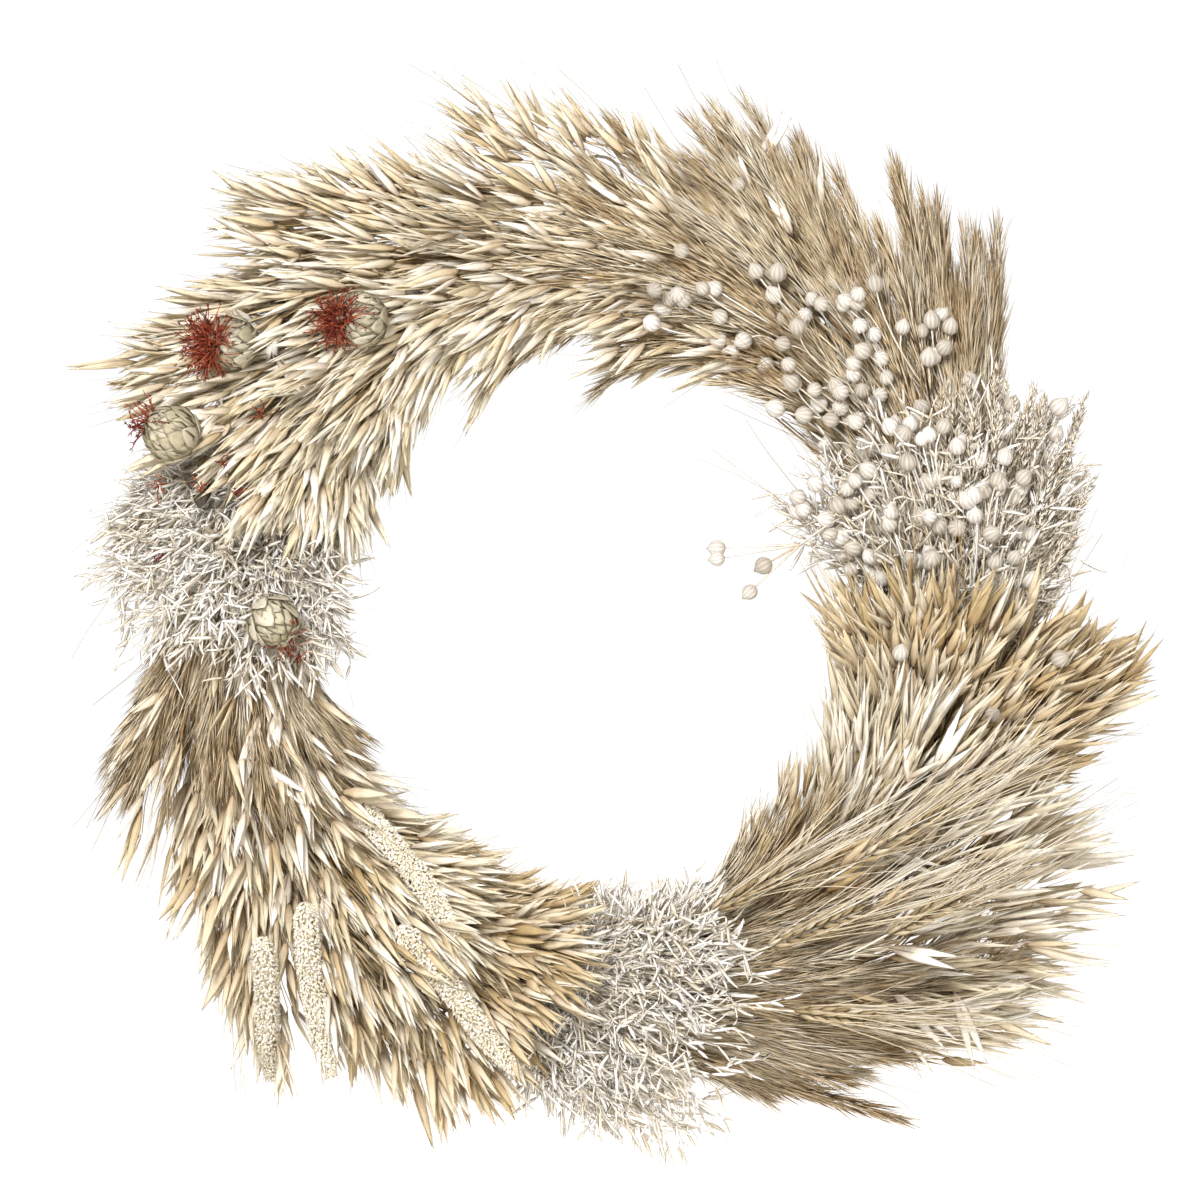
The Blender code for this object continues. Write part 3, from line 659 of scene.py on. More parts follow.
# Capsules stand at their places. Each stalk is a quadratic curve from its foot, by a point below the capsule.
def growFlax(heap, stalks, places, along, footPlaces, sizes):
    count = len(places)
    tint = rng.random(count)
    side, up = crossFrame(along, [0.2, -0.9, 0.3], spread(count, *anyTurn))
    r = flax["radius"] * sizes
    pileBodies(heap, capsuleShape, places, along, side, up, r, r, r, tint=tint)
    foot = places - along * (r * 0.98)[:, None]
    for turn in range(flax["sepals"]):  # the dry sepals that clasp the capsule's foot
        angle = turn * 2 * math.pi / flax["sepals"]
        ray = side * math.cos(angle) + up * math.sin(angle)
        sepal = unit(along + ray * 0.75)
        pileBodies(heap, fineShape, foot, sepal, np.cross(sepal, ray), ray, r * 1.15, 0.7 * mm, 0.3 * mm,
                   tint=tint * 0.5)
    share = np.linspace(0, 1, 7)[None, :, None]
    end = places - along * r[:, None]
    handle = end - along * (spread(count, 12, 22) * mm)[:, None]
    paths = (1 - share) ** 2 * footPlaces[:, None] + 2 * share * (1 - share) * handle[:, None]
    paths = paths + share ** 2 * end[:, None]
    pileTubes(stalks, stalkShape, paths, flax["stalk"] * (1.3 - 0.5 * share[..., 0]), tint)


# Whiskers: fine loose straws that lie over the heads. Then the large papery glumes.

whiskers = {"each": 70, "length": (28, 75), "radius": 0.24 * mm}
whiskerShape = tubeShape(4, 3)


# Each whisker leaves beside a head and bends evenly towards the way the heads beyond it point.
def growWhiskers(heap, bundle):
    count = whiskers["each"]
    x, a = spread(count, 0.35, 0.95), spread(count, -1, 1)
    start = stemPlace(bundle, x, a, spread(count, 0.5, 1.3))
    first = jittered(headDirection(start, x, a * 0.8), 0.16)
    last = jittered(unit(headDirection(start, x + 0.3, a) + outward(start) * 0.08), 0.25)
    paths = bentPaths(start, spread(count, *whiskers["length"]) * mm, first, last, 4)
    thin = whiskers["radius"] * spread(count, 0.6, 1.3)[:, None] * tapered(4, 0.5)
    pileTubes(heap, whiskerShape, paths, thin, rng.random(count))


# Degrees round the ring, millimetres from its centre, the way it points in degrees, and its length in mm.
largeGlumes = (
    (201, 188, 255, 40), (207, 180, 325, 38), (200, 174, 262, 30), (337, 171, 88, 40), (341, 187, 62, 42),
    (306, 134, 92, 36), (309, 128, 75, 26), (70, 258, 58, 34), (63, 246, 94, 36), (72, 236, 110, 26),
    (88, 142, 200, 30), (322, 200, 340, 34), (314, 236, 348, 38), (309, 262, 318, 44), (306, 268, 300, 40),
    (312, 282, 290, 42), (222, 215, 258, 34), (228, 206, 270, 32), (99, 207, 182, 34), (117, 196, 205, 30),
    (176, 143, 295, 31), (161, 144, 252, 31), (167, 152, 262, 30), (171, 141, 284, 36), (173, 156, 240, 27),
    (153.5, 230, 182, 30), (152.5, 243, 204, 34), (155, 221, 190, 32), (140, 230, 314, 32),
    (140, 216, 268, 30), (141.5, 198, 312, 28), (66, 226, 118, 30), (146, 150, 250, 34),
    (133, 139, 262, 32), (159, 180, 236, 30), (352, 214, 60, 30),
)


# The highest of the fans that pass under a place.
def frontHeight(angle, radius):
    return max(fanHeight(turnedFrom(b["tie"], angle), radius) for b in bundles
               if 0.2 < turnedFrom(b["tie"], angle) < 1.08)


# A place in front of the fans, from degrees round the ring and millimetres from its centre.
def frontPlace(degrees, radius, ahead):
    angle, radius = np.array(math.radians(degrees)), np.array(radius * mm)
    return fromRing(angle, radius, frontHeight(angle, radius) + ahead)


# Two long glumes side by side, a few degrees apart, laid over the fans.
def growLargeGlumes(heap):
    for degrees, radius, points, length in largeGlumes:
        middle, points = frontPlace(degrees, radius, 14 * mm), math.radians(points)
        along = unit(np.array([math.cos(points), -0.12, math.sin(points)]))
        side, _ = crossFrame(along[None], np.array([[0.0, -1.0, 0.0]]), spread(1, -0.5, 0.5))
        for turn in (1, -1):
            leafAlong = unit(along + side * 0.09 * turn)
            pileBodies(heap, glumeShape, (middle - along * length * mm / 2)[None], leafAlong, side,
                       np.cross(side, leafAlong), length * mm, 2.9 * mm, 1.5 * mm, -2.0 * mm,
                       tint=spread(1, 0.75, 1.0))


# Wheat: two rows of plump kernels on an ear, and long fine beards.

wheat = {
    "pitch": 3.7 * mm, "kernel": 10.5 * mm, "kernelWidth": 3.0 * mm, "raised": 8 * mm,
    "beard": (55, 115), "beardRadius": 0.38 * mm, "stem": 22 * mm, "stemRadius": 0.65 * mm,
}
kernelShape = bodyShape(
    [(0.14, 0.62, 0.6), (0.38, 1, 1), (0.66, 0.86, 0.8), (0.88, 0.4, 0.36)],
    ringSection(7))
beardShape = tubeShape(5, 3)


# The two ends of a CAD spindle: the longest direction of its points, pointed along the flow of the wreath.
def spindleEnds(name, outShare=0.6):
    points = nodePoints(name)
    middle = (points.max(0) + points.min(0)) / 2
    _, _, axes = np.linalg.svd(points - points.mean(0), full_matrices=False)
    axis = axes[0]
    angle = toRing(middle)[0]
    flow = np.array([-math.sin(angle), 0, math.cos(angle)])
    flow += outShare * np.array([math.cos(angle), 0, math.sin(angle)])
    axis = axis * np.sign(axis @ flow)
    reach = (points - middle) @ axis
    return middle + axis * reach.min(), middle + axis * reach.max()


# Three kernels at each joint, on alternate sides of the ear, swell as a sine towards its middle. A beard
# leaves each kernel's tip and bends evenly.
def growWheat(heap, beards, name):
    foot, tip = spindleEnds(name)
    out = outward((foot + tip) / 2)
    foot, tip = foot + out * wheat["raised"], tip + out * wheat["raised"]
    axis = unit(tip - foot)
    total = np.linalg.norm(tip - foot)
    joints = int(total / wheat["pitch"])
    share = (np.arange(joints) + 0.3) / joints
    hand = np.where(np.arange(joints) % 2, 1.0, -1.0)
    side = unit(np.cross(axis, out))
    for lean, rise in ((1.0, 0.0), (0.55, 0.75), (0.55, -0.75)):  # three kernels at each joint
        base = foot + axis * (share * (total - wheat["kernel"] * 0.8))[:, None]
        swell = np.sin(math.pi * np.clip(share * 0.8 + 0.16, 0, 1)) ** 0.6
        ray = unit(side * (hand * lean)[:, None] + out * rise)
        base = base + ray * (1.6 * mm * swell)[:, None]
        along = jittered(unit(np.broadcast_to(axis, ray.shape) + ray * 0.36), 0.04)
        across = unit(np.cross(along, ray))
        width = wheat["kernelWidth"] / 2 * swell
        pileBodies(heap, kernelShape, base, along, across, np.cross(across, along),
                   wheat["kernel"] * (0.8 + 0.2 * swell), width, width * 0.85, tint=rng.random(joints))
        starts = base + along * (wheat["kernel"] * 0.85)
        heading = jittered(unit(along * 0.5 + axis), 0.07)
        length = spread(joints, *wheat["beard"]) * mm
        paths = bentPaths(starts, length, heading, jittered(heading, 0.2), 5, 0.6)
        pileTubes(beards, beardShape, paths, wheat["beardRadius"] * tapered(5, 0.65), rng.random(joints))
    back = foot - axis * wheat["stem"]
    stem = np.stack([back, (foot + back) / 2, foot + axis * total * 0.9])[None]
    pileTubes(beards, threadShape, stem, wheat["stemRadius"], 0.7)


# Foxtail millet: fine grains crowded round a soft spike.

millet = {"grains": 2300, "grain": 1.02 * mm, "radius": 5.9 * mm, "wander": 1.4 * mm,
          "bristles": 420, "bristle": (3, 6), "bristleRadius": 0.12 * mm}
grainShape = bodyShape([(0.3, 0.95, 0.95), (0.72, 0.8, 0.8)], ringSection(4))


# A spike's thickness along it: roots of the distances from its two ends, up to one.
def milletProfile(share):
    return np.clip(share / 0.07, 0, 1) ** 0.5 * np.clip((1.02 - share) / 0.3, 0, 1) ** 0.5


# Grains follow a spiral of the golden angle on a spindle that wanders as a sine, round a plain core.
def growMillet(heap, name):
    foot, tip = spindleEnds(name, 0.9)
    foot, tip = foot + outward(foot) * 4 * mm, tip + outward(tip) * 2.5 * mm
    axis = unit(tip - foot)
    out = outward((foot + tip) / 2)
    side = unit(np.cross(axis, out))
    total = np.linalg.norm(tip - foot)
    count = millet["grains"]
    share = (np.arange(count) + rng.random(count)) / count
    turn = np.arange(count) * goldenAngle + rng.normal(0, 0.2, count)
    core = np.linspace(0.02, 0.93, 9)
    wander, coreWander = (millet["wander"] * np.sin(part * 5.1 + foot[0] * 90) for part in (share, core))
    ray = turnedRays(side, np.cross(side, axis), turn)
    clumps = 1 + 0.06 * np.sin(share * total / (5 * mm) * 2 * math.pi + turn)
    centre = foot + axis * (share * total)[:, None] + side * wander[:, None]
    radius = (millet["radius"] - millet["grain"]) * milletProfile(share) * clumps
    radius += rng.normal(0, 0.16 * mm, count)
    along = jittered(unit(ray + axis * 0.7), 0.3)
    across, up = crossFrame(along, axis, spread(count, *anyTurn))
    grain = millet["grain"] * spread(count, 0.8, 1.2)
    pileBodies(heap, grainShape, centre + ray * radius[:, None], along, across, up, grain * 1.9,
               grain * 0.72, grain * 0.72, tint=rng.random(count))
    line = foot + axis * (core * total)[:, None] + side * coreWander[:, None]
    pileTubes(heap, tubeShape(9, 8), line[None], millet["radius"] * 0.72 * milletProfile(core), 0.15)
    bristles = millet["bristles"]
    pick = rng.integers(0, count, bristles)
    hair = jittered(unit(ray[pick] + axis * 0.9), 0.2)
    across, up = crossFrame(hair, axis, spread(bristles, *anyTurn))
    start = centre[pick] + ray[pick] * radius[pick][:, None]
    pileBodies(heap, fineShape, start, hair, across, up, spread(bristles, *millet["bristle"]) * mm,
               millet["bristleRadius"], millet["bristleRadius"], tint=0.9)


# Safflower: a ball of overlapping bracts and a tuft of red florets.

safflower = {
    "bracts": 76, "bract": 14.5 * mm, "bractBow": -7.2 * mm,
    # each head: its ball's radius, its florets and their length, the degrees that its tuft points from its
    # own radius, turning with the wreath, and the tuft's lean to the front
    "heads": {
        1: (13.4 * mm, 230, 15.0 * mm, 42, 1.05),
        2: (13.4 * mm, 180, 14.0 * mm, 60, 0.85),
        3: (13.4 * mm, 40, 14.0 * mm, -5, 0.3),
        4: (11.8 * mm, 34, 9.0 * mm, 132, 0.25),
    },
}
bractShape = bodyShape(
    [(0.2, 0.8, 0.8), (0.55, 1.0, 1.0), (0.82, 0.62, 0.7)],
    [(1, 0), (0.5, 0.7), (-0.5, 0.7), (-1, 0), (0, -0.15)])
floretShape = tubeShape(4, 3)


# Bracts follow a spiral of the golden angle over a ball, from foot to mouth. Florets leave the mouth in a
# cone and curl as they go.
def growSafflower(balls, tufts, name):
    low, high = (np.array(v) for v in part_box(name))
    centre = (low + high) / 2
    radius, florets, floret, degrees, front = safflower["heads"][int(name[-1])]
    heading = toRing(centre)[0] + math.radians(degrees)
    axis = unit(np.array([math.cos(heading), -front, math.sin(heading)]))
    side = unit(np.cross(axis, [0.0, 0.3, 1.0]))
    up = np.cross(side, axis)
    count = safflower["bracts"]
    polar = np.arccos(np.clip(1 - 2 * (np.arange(count) + 0.5) / count, -1, 1)) * 0.86
    ring = turnedRays(side, up, np.arange(count) * goldenAngle)
    surface = -axis * np.cos(polar)[:, None] + ring * np.sin(polar)[:, None]
    along = unit(axis * np.sin(polar)[:, None] + ring * np.cos(polar)[:, None] * 0.9 + surface * 0.02)
    base = centre + surface * radius * 0.97
    across = unit(np.cross(along, surface))
    pileBodies(balls, bractShape, base, along, across, np.cross(across, along),
               safflower["bract"] * spread(count, 0.88, 1.12),
               safflower["bract"] * 0.40 * spread(count, 0.88, 1.12),
               0.4 * mm, safflower["bractBow"], tint=rng.random(count))
    core = np.linspace(-0.97, 0.97, 9)
    line = centre + axis * (core * radius * 0.95)[:, None]
    pileTubes(balls, tubeShape(9, 12), line[None], radius * 0.95 * np.sqrt(1 - core ** 2), 0.3)
    opened = rng.random(florets) ** 0.6 * 1.2
    ring = turnedRays(side, up, spread(florets, 0, 2 * math.pi))
    along = unit(axis * np.cos(opened)[:, None] + ring * np.sin(opened)[:, None])
    mouth = centre + axis * radius * 0.9 + ring * (opened * 2.6 * mm)[:, None]
    paths = bentPaths(mouth, floret * spread(florets, 0.45, 1.25), along, jittered(along, 0.95), 4, 0.8)
    pileTubes(tufts, floretShape, paths, 0.42 * mm * tapered(4, 0.3), rng.random(florets))
    for _ in range(3):  # each floret ends in narrow lobes
        lobe = jittered(unit(paths[:, -1] - paths[:, -2]), 0.55)
        across, up = crossFrame(lobe, axis, spread(florets, *anyTurn))
        pileBodies(tufts, fineShape, paths[:, -1], lobe, across, up, spread(florets, 1.8, 3.6) * mm,
                   0.40 * mm, 0.25 * mm, tint=rng.random(florets))


leaf = {"length": 15 * mm, "width": 10 * mm, "each": 8, "crumple": 1.3 * mm}
leafShape = bodyShape(
    [(0.06, 0.10, 1), (0.22, 0.62, 1), (0.42, 1.0, 1), (0.6, 0.88, 1), (0.8, 0.52, 1),
     (0.93, 0.2, 1)],
    [(1, 0), (0.5, 0.6), (0, -0.2), (-0.5, 0.6), (-1, 0), (-0.5, 0.2), (0, -0.7), (0.5, 0.2)])


# Leaves lie round their CAD solid, bowed by a random amount and crumpled by two sine waves that cross them.
def growLeaves(heap, name):
    foot, tip = spindleEnds(name, 0.0)
    middle = (foot + tip) / 2
    out = outward(middle)
    count = leaf["each"]
    base = middle + rng.normal(0, 5 * mm, (count, 3)) - unit(tip - foot) * 6 * mm
    base = base + out * (spread(count, -9, -3) * mm)[:, None]
    along = jittered(np.broadcast_to(unit(tip - foot), (count, 3)), 0.9)
    side, up = crossFrame(along, out, rng.normal(0, 0.5, count))
    size = spread(count, 0.75, 1.2)
    verts = placeBodies(leafShape, base, along, side, up, leaf["length"] * size, leaf["width"] / 2 * size,
                        0.5 * mm, rng.normal(0, 4 * mm, count))
    phase = spread(count, 0, 2 * math.pi)[:, None]
    wave = np.sin(leafShape["along"][None] * 9 + phase) + np.sin(leafShape["across"][None] * 3.5 - phase)
    verts = verts + up[:, None] * (leaf["crumple"] * wave)[..., None]
    pile(heap, leafShape, verts, rng.random(count))


# What grows where.

paleOat = {"length": 29 * mm, "width": 4.9 * mm, "lift": (-0.1, 0.42), "stray": 0.18, "gape": (0.03, 0.2),
           "awned": 0.55, "awn": 0.22 * mm, "thread": 0.28 * mm}
creamOat = {**paleOat, "length": 33 * mm, "width": 4.4 * mm, "stray": 0.16}
goldenOat = {**paleOat, "length": 26.5 * mm, "width": 5.1 * mm, "gape": (0.04, 0.26), "stray": 0.21}

plan = {  # what each bundle is made of: numbers of pieces of each plant
    1: {"reed": 50, "edgeReed": 20, "flax": 56, "fine": 8},
    2: {"reed": 48, "edgeReed": 16, "flax": 24, "pale": 76},
    3: {"reed": 30, "pale": 450},
    4: {"pale": 800},
    5: {"pale": 760},
    6: {"statice": 1420, "fine": 38},
    7: {"reed": 52, "pale": 120},
    8: {"pale": 600, "golden": 110, "reed": 8},
    9: {"golden": 480, "pale": 200},
    10: {"statice": 1480, "fine": 38},
    11: {"reed": 56, "edgeReed": 38, "golden": 30},
    12: {"cream": 640, "lobe": 210, "reed": 14},
    13: {"golden": 600, "pale": 130, "flax": 8},
    14: {"statice": 400, "flax": 78, "fine": 24, "heather": 76},
}
places = {  # where the pieces sit, if not over the whole fan: shares of length, and across from -1 to 1
    (2, "pale"): {"aLow": -1.0, "aHigh": -0.6},
    (5, "pale"): {"xHigh": 0.98},
    (9, "golden"): {"xHigh": 0.98},
    (9, "pale"): {"xHigh": 0.98},
    (12, "cream"): {"xHigh": 1.0},
    (12, "lobe"): {"xLow": 0.26, "xHigh": 0.66, "aLow": 0.55},
    (13, "golden"): {"xHigh": 0.92},
    (13, "pale"): {"xHigh": 0.90},
    (6, "statice"): {"xLow": 0.34},
    (10, "statice"): {"xLow": 0.36},
    (14, "flax"): {"xLow": 0.55, "xHigh": 1.08},
    (14, "heather"): {"xLow": 0.30, "xHigh": 0.80, "aLow": 0.15},
    (1, "reed"): {"aLow": -0.66},
    (11, "edgeReed"): {"xLow": 0.34, "xHigh": 0.78, "aLow": 0.35},
    (1, "edgeReed"): {"xLow": 0.40, "xHigh": 0.85, "aLow": 0.5},
    (2, "edgeReed"): {"xLow": 0.40, "xHigh": 0.80, "aLow": 0.5},
}

# Each dried tissue: its name, its shades from dark to light, the colour at its foot (partly its own tan,
# partly painted shade of the gaps between heads), and its veins and how strongly that foot colour shows.
tissues = {
    # papery husks: satin, finely veined, darker towards the foot, partly their own tan and partly painted
    # shade
    "pale": ("dried oat husk, pale", "#CFBD97 #E0D3B5 #ECE3CD #F5EFE0 #FCFAF4", "#9D7A48", {"footTanAndShadeAmount": 0.78}),
    "cream": ("dried oat husk, bleached", "#D6C7A5 #E3D8BD #EEE6D3 #F6F1E5 #FCFAF4", "#977546",
              {"footTanAndShadeAmount": 0.72}),
    "golden": ("dried oat husk, golden", "#B59C70 #C6B086 #D5C29F #E3D5B8 #F2E9D6", "#7C5A30",
               {"footTanAndShadeAmount": 0.8}),
    # plumes and stems: fibrous, with few and soft veins
    "reed": ("dried reed plume", "#7F5F36 #A68659 #CDB68F #E6D8BC #F4EDDE", "#694722",
             {"veins": 3, "footTanAndShadeAmount": 0.6}),
    "grass": ("bleached fine grass", "#CDBB98 #DDCFB3 #EADFCB #F3ECDD #F9F6EE", "#A98A5C",
              {"veins": 2, "footTanAndShadeAmount": 0.4}),
    # the straw's dark browns are partly the stems' own colour and partly painted shade in the gaps between
    # heads
    "straw": ("straw", "#9C7B4C #B39463 #C8AE82 #DAC6A1 #EADFC6", "#7E5C30", {"veins": 5, "footTanAndShadeAmount": 0.3}),
    "statice": ("bleached statice", "#E4D8BF #F0E8D8 #F8F4EA #FDFBF7 #FFFEFD", "#C2A97C",
                {"veins": 2, "footTanAndShadeAmount": 0.3}),
    # seed heads: harder, with a slight sheen; the flax capsules' ten seams are drawn dark
    "flax": ("bleached flax capsule", "#BDB4A6 #CBC3B6 #D6CFC4 #E0DAD1 #E9E5DE", "#9C8C74",
             {"veins": 10, "veinDark": 0.72, "footTanAndShadeAmount": 0.35}),
    "millet": ("foxtail millet grain", "#DACFB2 #E6DDC6 #EEE7D5 #F4EFE2 #F9F6EE", "#C4B18A",
               {"veins": 2, "footTanAndShadeAmount": 0.25}),
    "wheat": ("wheat kernel", "#8F7B59 #A3906C #B5A481 #C6B796 #D8CBB0", "#5F4A30",
              {"veins": 4, "footTanAndShadeAmount": 0.7}),
    "beard": ("wheat beard", "#D6C5A2 #E2D4B6 #ECE2CB #F4EDDD #FAF6EC", "#B89D70",
              {"veins": 1, "footTanAndShadeAmount": 0.35}),
    # safflower: leathery grey-green bracts, rust-red florets and shrivelled leaves
    "bract": ("safflower bract", "#A1977B #AFA58A #BBB299 #C7BFA8 #D2CBB6", "#71634A",
              {"veins": 7, "footTanAndShadeAmount": 0.6}),
    "floret": ("safflower floret", "#48140A #6A200F #862F19 #9F4527 #B8663F", "#3A1008",
               {"veins": 1, "footTanAndShadeAmount": 0.25}),
    "leaf": ("dry grey leaf", "#4B453B #60594C #756D5F #8B8374 #A29A8B", "#40392E",
             {"veins": 8, "footTanAndShadeAmount": 0.3}),
}
tissue = {key: driedMaterial(name, shades.split(), foot, **veinsAndFootShade)
          for key, (name, shades, foot, veinsAndFootShade) in tissues.items()}
print(f"materials: {len(tissue)} dried tissues")
kinds = {  # of the plan: what grows it, from which values, its pieces' names, its tissue and its slot
    "pale": (growOats, paleOat, "Oats", "pale", "pale_oat_straw"),
    "cream": (growOats, creamOat, "Oats", "cream", "pale_oat_straw"),
    "lobe": (growOats, creamOat, "Oats", "cream", "pale_oat_straw"),
    "golden": (growOats, goldenOat, "Oats", "golden", "golden_oat_straw"),
    "reed": (growPlumes, reed, "Plumes", "reed", "reed_grass"),
    "edgeReed": (growPlumes, reed, "Plumes", "reed", "reed_grass"),
    "fine": (growPlumes, fineGrass, "Plumes", "grass", "bleached_statice"),
    "heather": (growPlumes, heather, "Plumes", "grass", "bleached_statice"),
    "statice": (growStatice, statice, "Twigs", "statice", "bleached_statice"),
}


# Flax over one bundle: capsules in front of its heads, and their stalks' feet behind and below them.
def flaxOn(heap, stalks, bundle, count, xLow=0.45, xHigh=0.98, aLow=-1.0, aHigh=0.9):
    x, a = spread(count, xLow, xHigh), spread(count, aLow, aHigh)
    b = spread(count, 1.1, 2.3)
    place = stemPlace(bundle, x, a, b)
    place[:, 1] = np.maximum(place[:, 1], roomLow[1] + 9 * mm)
    along = raisedDirection(place, x, a, (0.1, 0.9), 0.35)
    foot = stemPlace(bundle, x - spread(count, 0.25, 0.42), a * 0.8, b - 1.2)
    growFlax(heap, stalks, place, along, foot, rng.normal(1, 0.08, count).clip(0.8, 1.2))


# Grows a plant at each CAD node whose name starts so. Its first piece stands for those nodes.
def growAt(start, grow, slot, **pieces):
    names = sorted(n for n in nodes if n.startswith(start))
    heaps = [newHeap() for _ in pieces]
    for name in names:
        grow(*heaps, name)
    for i, (piece, cover) in enumerate(pieces.items()):
        putPiece(piece, heaps[i], tissue[cover], standsFor=() if i else names)


for bundle in bundles:
    number, named = bundle["number"], f"{bundle['number']:02d}"
    parts, straws = plan[number], newHeap()
    growStraw(straws, bundle)
    growWhiskers(straws, bundle)
    for kind, (grow, plant, plural, cover, slot) in kinds.items():
        if kind in parts:
            heads = newHeap()
            grow(heads, straws, bundle, parts[kind], plant, **places.get((number, kind), {}))
            putPiece(f"{kind}{plural}{named}", heads, tissue[cover])
    if "flax" in parts:
        bolls, stalks = newHeap(), newHeap()
        flaxOn(bolls, stalks, bundle, parts["flax"], **places.get((number, "flax"), {}))
        putPiece(f"flaxCapsules{named}", bolls, tissue["flax"])
        putPiece(f"flaxStalks{named}", stalks, tissue["statice"])
    under = tissue["grass" if number in (6, 10) else "straw"]  # pale stems under the two statice mats
    putPiece(f"straw{named}", straws, under, standsFor=[bundle["name"]])
print(f"bundles: {len(bundles)} grown")

large = newHeap()
growLargeGlumes(large)
putPiece("largeGlumes", large, tissue["pale"])

growAt("wheat_ear", growWheat, "wheat_ear", wheatKernels="wheat", wheatBeards="beard")
growAt("millet_spike", growMillet, "millet_spike", milletSpikes="millet")
growAt("safflower_head", growSafflower, "safflower_head",
       safflowerBracts="bract", safflowerFlorets="floret")

# Loose florets that have dropped on the statice: degrees round the ring and millimetres from its centre.
dropped = ((161.8, 209), (160.6, 193), (171.3, 223), (162.9, 229), (188.5, 152), (149, 196), (157, 205))
bits = newHeap()
for place in dropped:
    count = 9
    along = jittered(np.broadcast_to(unit(rng.normal(0, 1, 3) * [1, 0.3, 1]), (count, 3)), 0.6)
    curl = jittered(along, 0.5)
    start = frontPlace(*place, 15 * mm) + rng.normal(0, 1.2 * mm, (count, 3))
    paths = bentPaths(start, spread(count, 4, 9) * mm, along, curl, 4, 1)
    pileTubes(bits, floretShape, paths, 0.36 * mm, rng.random(count))
putPiece("looseFlorets", bits, tissue["floret"])

growAt("safflower_leaf", growLeaves, "dry_leaf", dryLeaves="leaf")

sprig = {"foot": (25, 138), "fork": (20, 109), "tips": ((30.5, 70), (17.6, 88), (9.8, 78))}  # degrees, mm
sprigLow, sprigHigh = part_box("loose_flax_sprig")
sprigHeight = -(sprigLow.y + sprigHigh.y) / 2


# A point of the sprig, from degrees round the ring and millimetres from its centre.
def sprigPoint(degrees, radius):
    return fromRing(np.array(math.radians(degrees)), np.array(radius * mm), np.array(sprigHeight))


bolls, stalks = newHeap(), newHeap()
tips = np.stack([sprigPoint(*p) for p in sprig["tips"]])
fork = np.broadcast_to(sprigPoint(*sprig["fork"]), tips.shape)
tips = np.concatenate([tips, tips[:1] + np.array([[0, -1.5, -5.5]]) * mm])
fork = fork[[0, 1, 2, 0]]
growFlax(bolls, stalks, tips, unit(tips - fork), fork, np.array([1.0, 1.05, 0.95, 0.9]))
stalk = np.stack([sprigPoint(*sprig["foot"]), sprigPoint(22, 124), sprigPoint(*sprig["fork"])])[None]
pileTubes(stalks, threadShape, stalk, 0.6 * mm, 0.8)
putPiece("sprigCapsules", bolls, tissue["flax"], standsFor=["loose_flax_sprig"])
putPiece("sprigStalks", stalks, tissue["grass"])


# The wire frame keeps its CAD shapes and gets its finishes.

# Galvanised steel wire: zinc's grey, with soft mottling of a few millimetres.
def wireMaterial(name, light, dark, metallic, roughness):
    material, tree, shader = newMaterial(name, {"Metallic": metallic, "Roughness": roughness})
    place = addNode(tree, "TexCoord").outputs["Object"]
    mottle = addNode(tree, "TexNoise", {"Scale": 320.0, "Detail": 3.0}, Vector=place)
    colour = ramp(tree, mottle.outputs["Fac"], [(0.35, dark), (0.65, light)])
    tree.links.new(colour, shader.inputs["Base Color"])
    return material


zinc = wireMaterial("galvanised steel wire", "#B9BBBA", "#8E9192", 1.0, 0.42)
lacquered = wireMaterial("green lacquered binding wire", "#6E6A4C", "#4F4C35", 0.0, 0.5)
for name, node in nodes.items():
    if name.startswith(("frame_", "hanging_loop")):
        for slot in node.material_slots:
            slot.material = zinc
    elif name.startswith("binding_wire"):
        for slot in node.material_slots:
            slot.material = lacquered
print("wire: frame and loop in zinc, bindings lacquered")


# The set: pale floor, soft light, and a long lens square to the front.

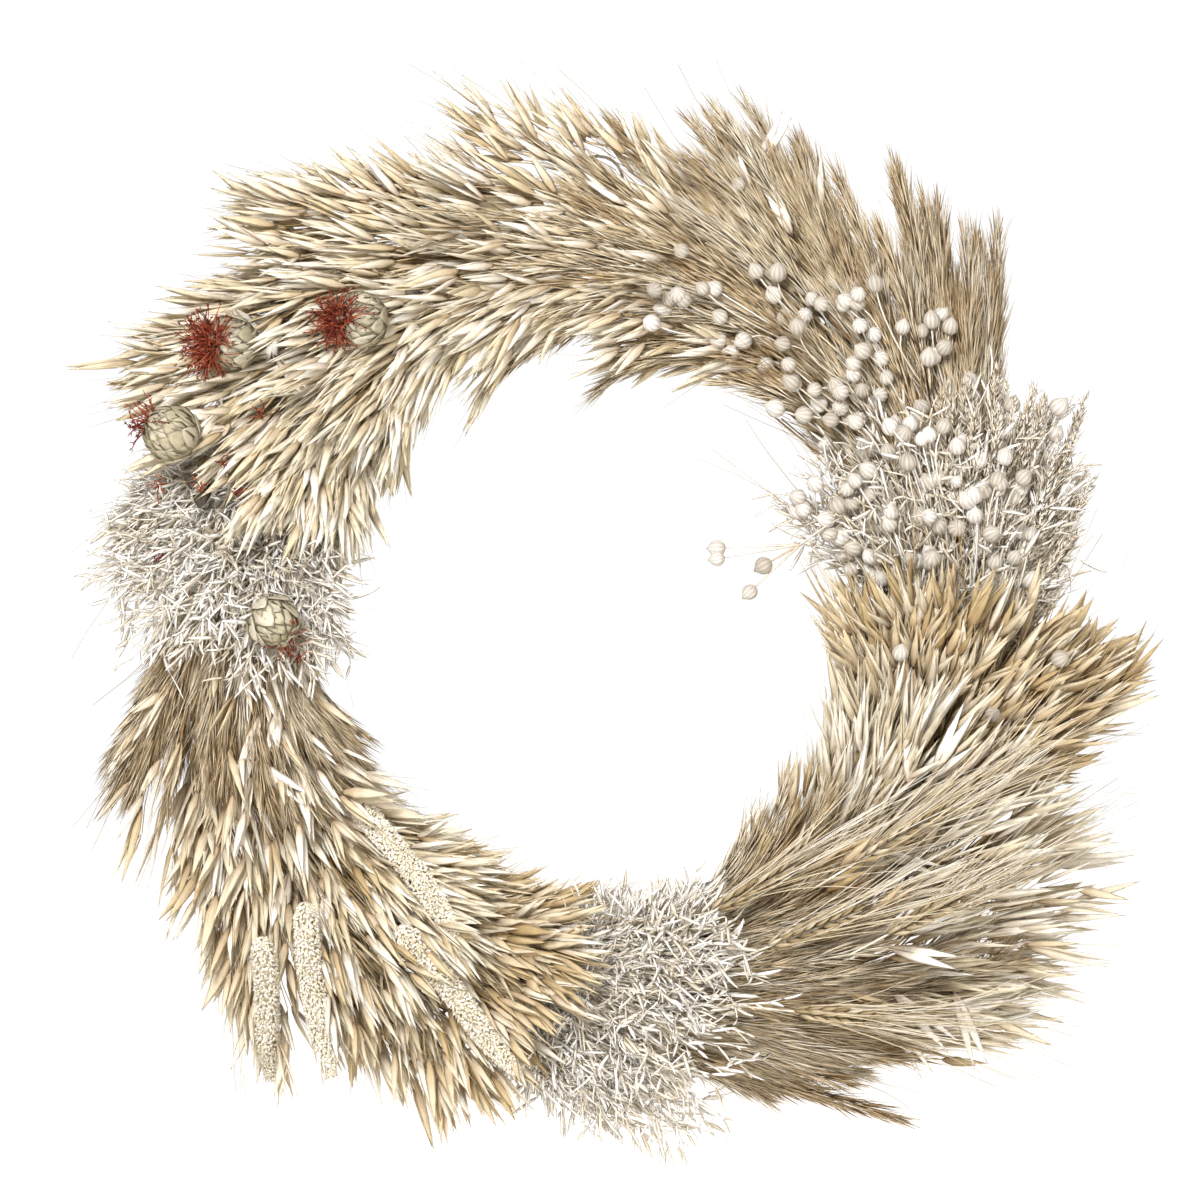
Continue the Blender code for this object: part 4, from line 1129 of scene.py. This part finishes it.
stage = {"floor": -0.80, "halfWidth": 9.0, "near": -9.0, "far": 9.0,
         "frameWidth": 0.612, "lens": 135.0, "sensor": 36.0, "roomLight": 0.36, "floorGlow": 0.8}
corners = [(x, y, stage["floor"]) for y in (stage["near"], stage["far"])
           for x in (-stage["halfWidth"], stage["halfWidth"])]
mesh = bpy.data.meshes.new("paleFloor")
mesh.from_pydata(corners, [], [(0, 1, 3, 2)])
paper, tree, shader = newMaterial("white paper", {
    "Base Color": linear("#F7F6F4"), "Roughness": 0.9, "Emission Color": linear("#FFFFFF")})
seen = addNode(tree, "LightPath").outputs["Is Camera Ray"]
glow = addNode(tree, "Math", {"operation": "MULTIPLY", 1: stage["floorGlow"]}, i0=seen)
tree.links.new(glow.outputs[0], shader.inputs["Emission Strength"])  # pale to look at, and no lamp
mesh.materials.append(paper)
floor = addObject("paleFloor", mesh)

aim = Vector((0.001, -0.07, centreZ + 0.0092))


# A square soft light that points at the wreath.
def addLight(name, place, width, power, colour):
    data = bpy.data.lights.new(name, "AREA")
    data.shape = "SQUARE"
    data.size = width
    data.energy = power
    data.color = linear(colour)[:3]
    obj = addObject(name, data)
    obj.location = place
    obj.rotation_euler = (aim - Vector(place)).to_track_quat("-Z", "Y").to_euler()


addLight("keyLight", (-0.55, -2.2, 0.75), 0.7, 70, "#FDFDFF")
addLight("fillLight", (1.2, -1.7, -0.7), 1.4, 17, "#FAFCFF")
addLight("rimLight", (0.6, 1.6, 0.9), 1.6, 36, "#FFFDFA")
# The room is plain white to look at, and lights the wreath softly and warmly, as wood and paper would.
world = bpy.data.worlds.new("softRoom")
bpy.context.scene.world = world
world.use_nodes = True
background = world.node_tree.nodes["Background"]
seen = addNode(world.node_tree, "LightPath").outputs["Is Camera Ray"]
tone = addNode(world.node_tree, "Mix", {"data_type": "RGBA"}, i0=seen)
tone.inputs[6].default_value, tone.inputs[7].default_value = linear("#FFEEDA"), linear("#FFFFFF")
world.node_tree.links.new(tone.outputs[2], background.inputs[0])
strength = addNode(world.node_tree, "MapRange", {"To Min": stage["roomLight"], "To Max": 1.05}, i0=seen)
world.node_tree.links.new(strength.outputs[0], background.inputs[1])

lens = bpy.data.cameras.new("frontCamera")
lens.lens = stage["lens"]
lens.sensor_width = stage["sensor"]
camera = addObject("frontCamera", lens)
away = stage["frameWidth"] * stage["lens"] / stage["sensor"]
camera.location = aim + Vector((0, -away, 0))
camera.rotation_euler = (math.radians(90), 0, 0)
bpy.context.scene.camera = camera
bpy.context.scene.view_settings.view_transform = "Standard"

print("set: floor, three lights, soft room and camera")
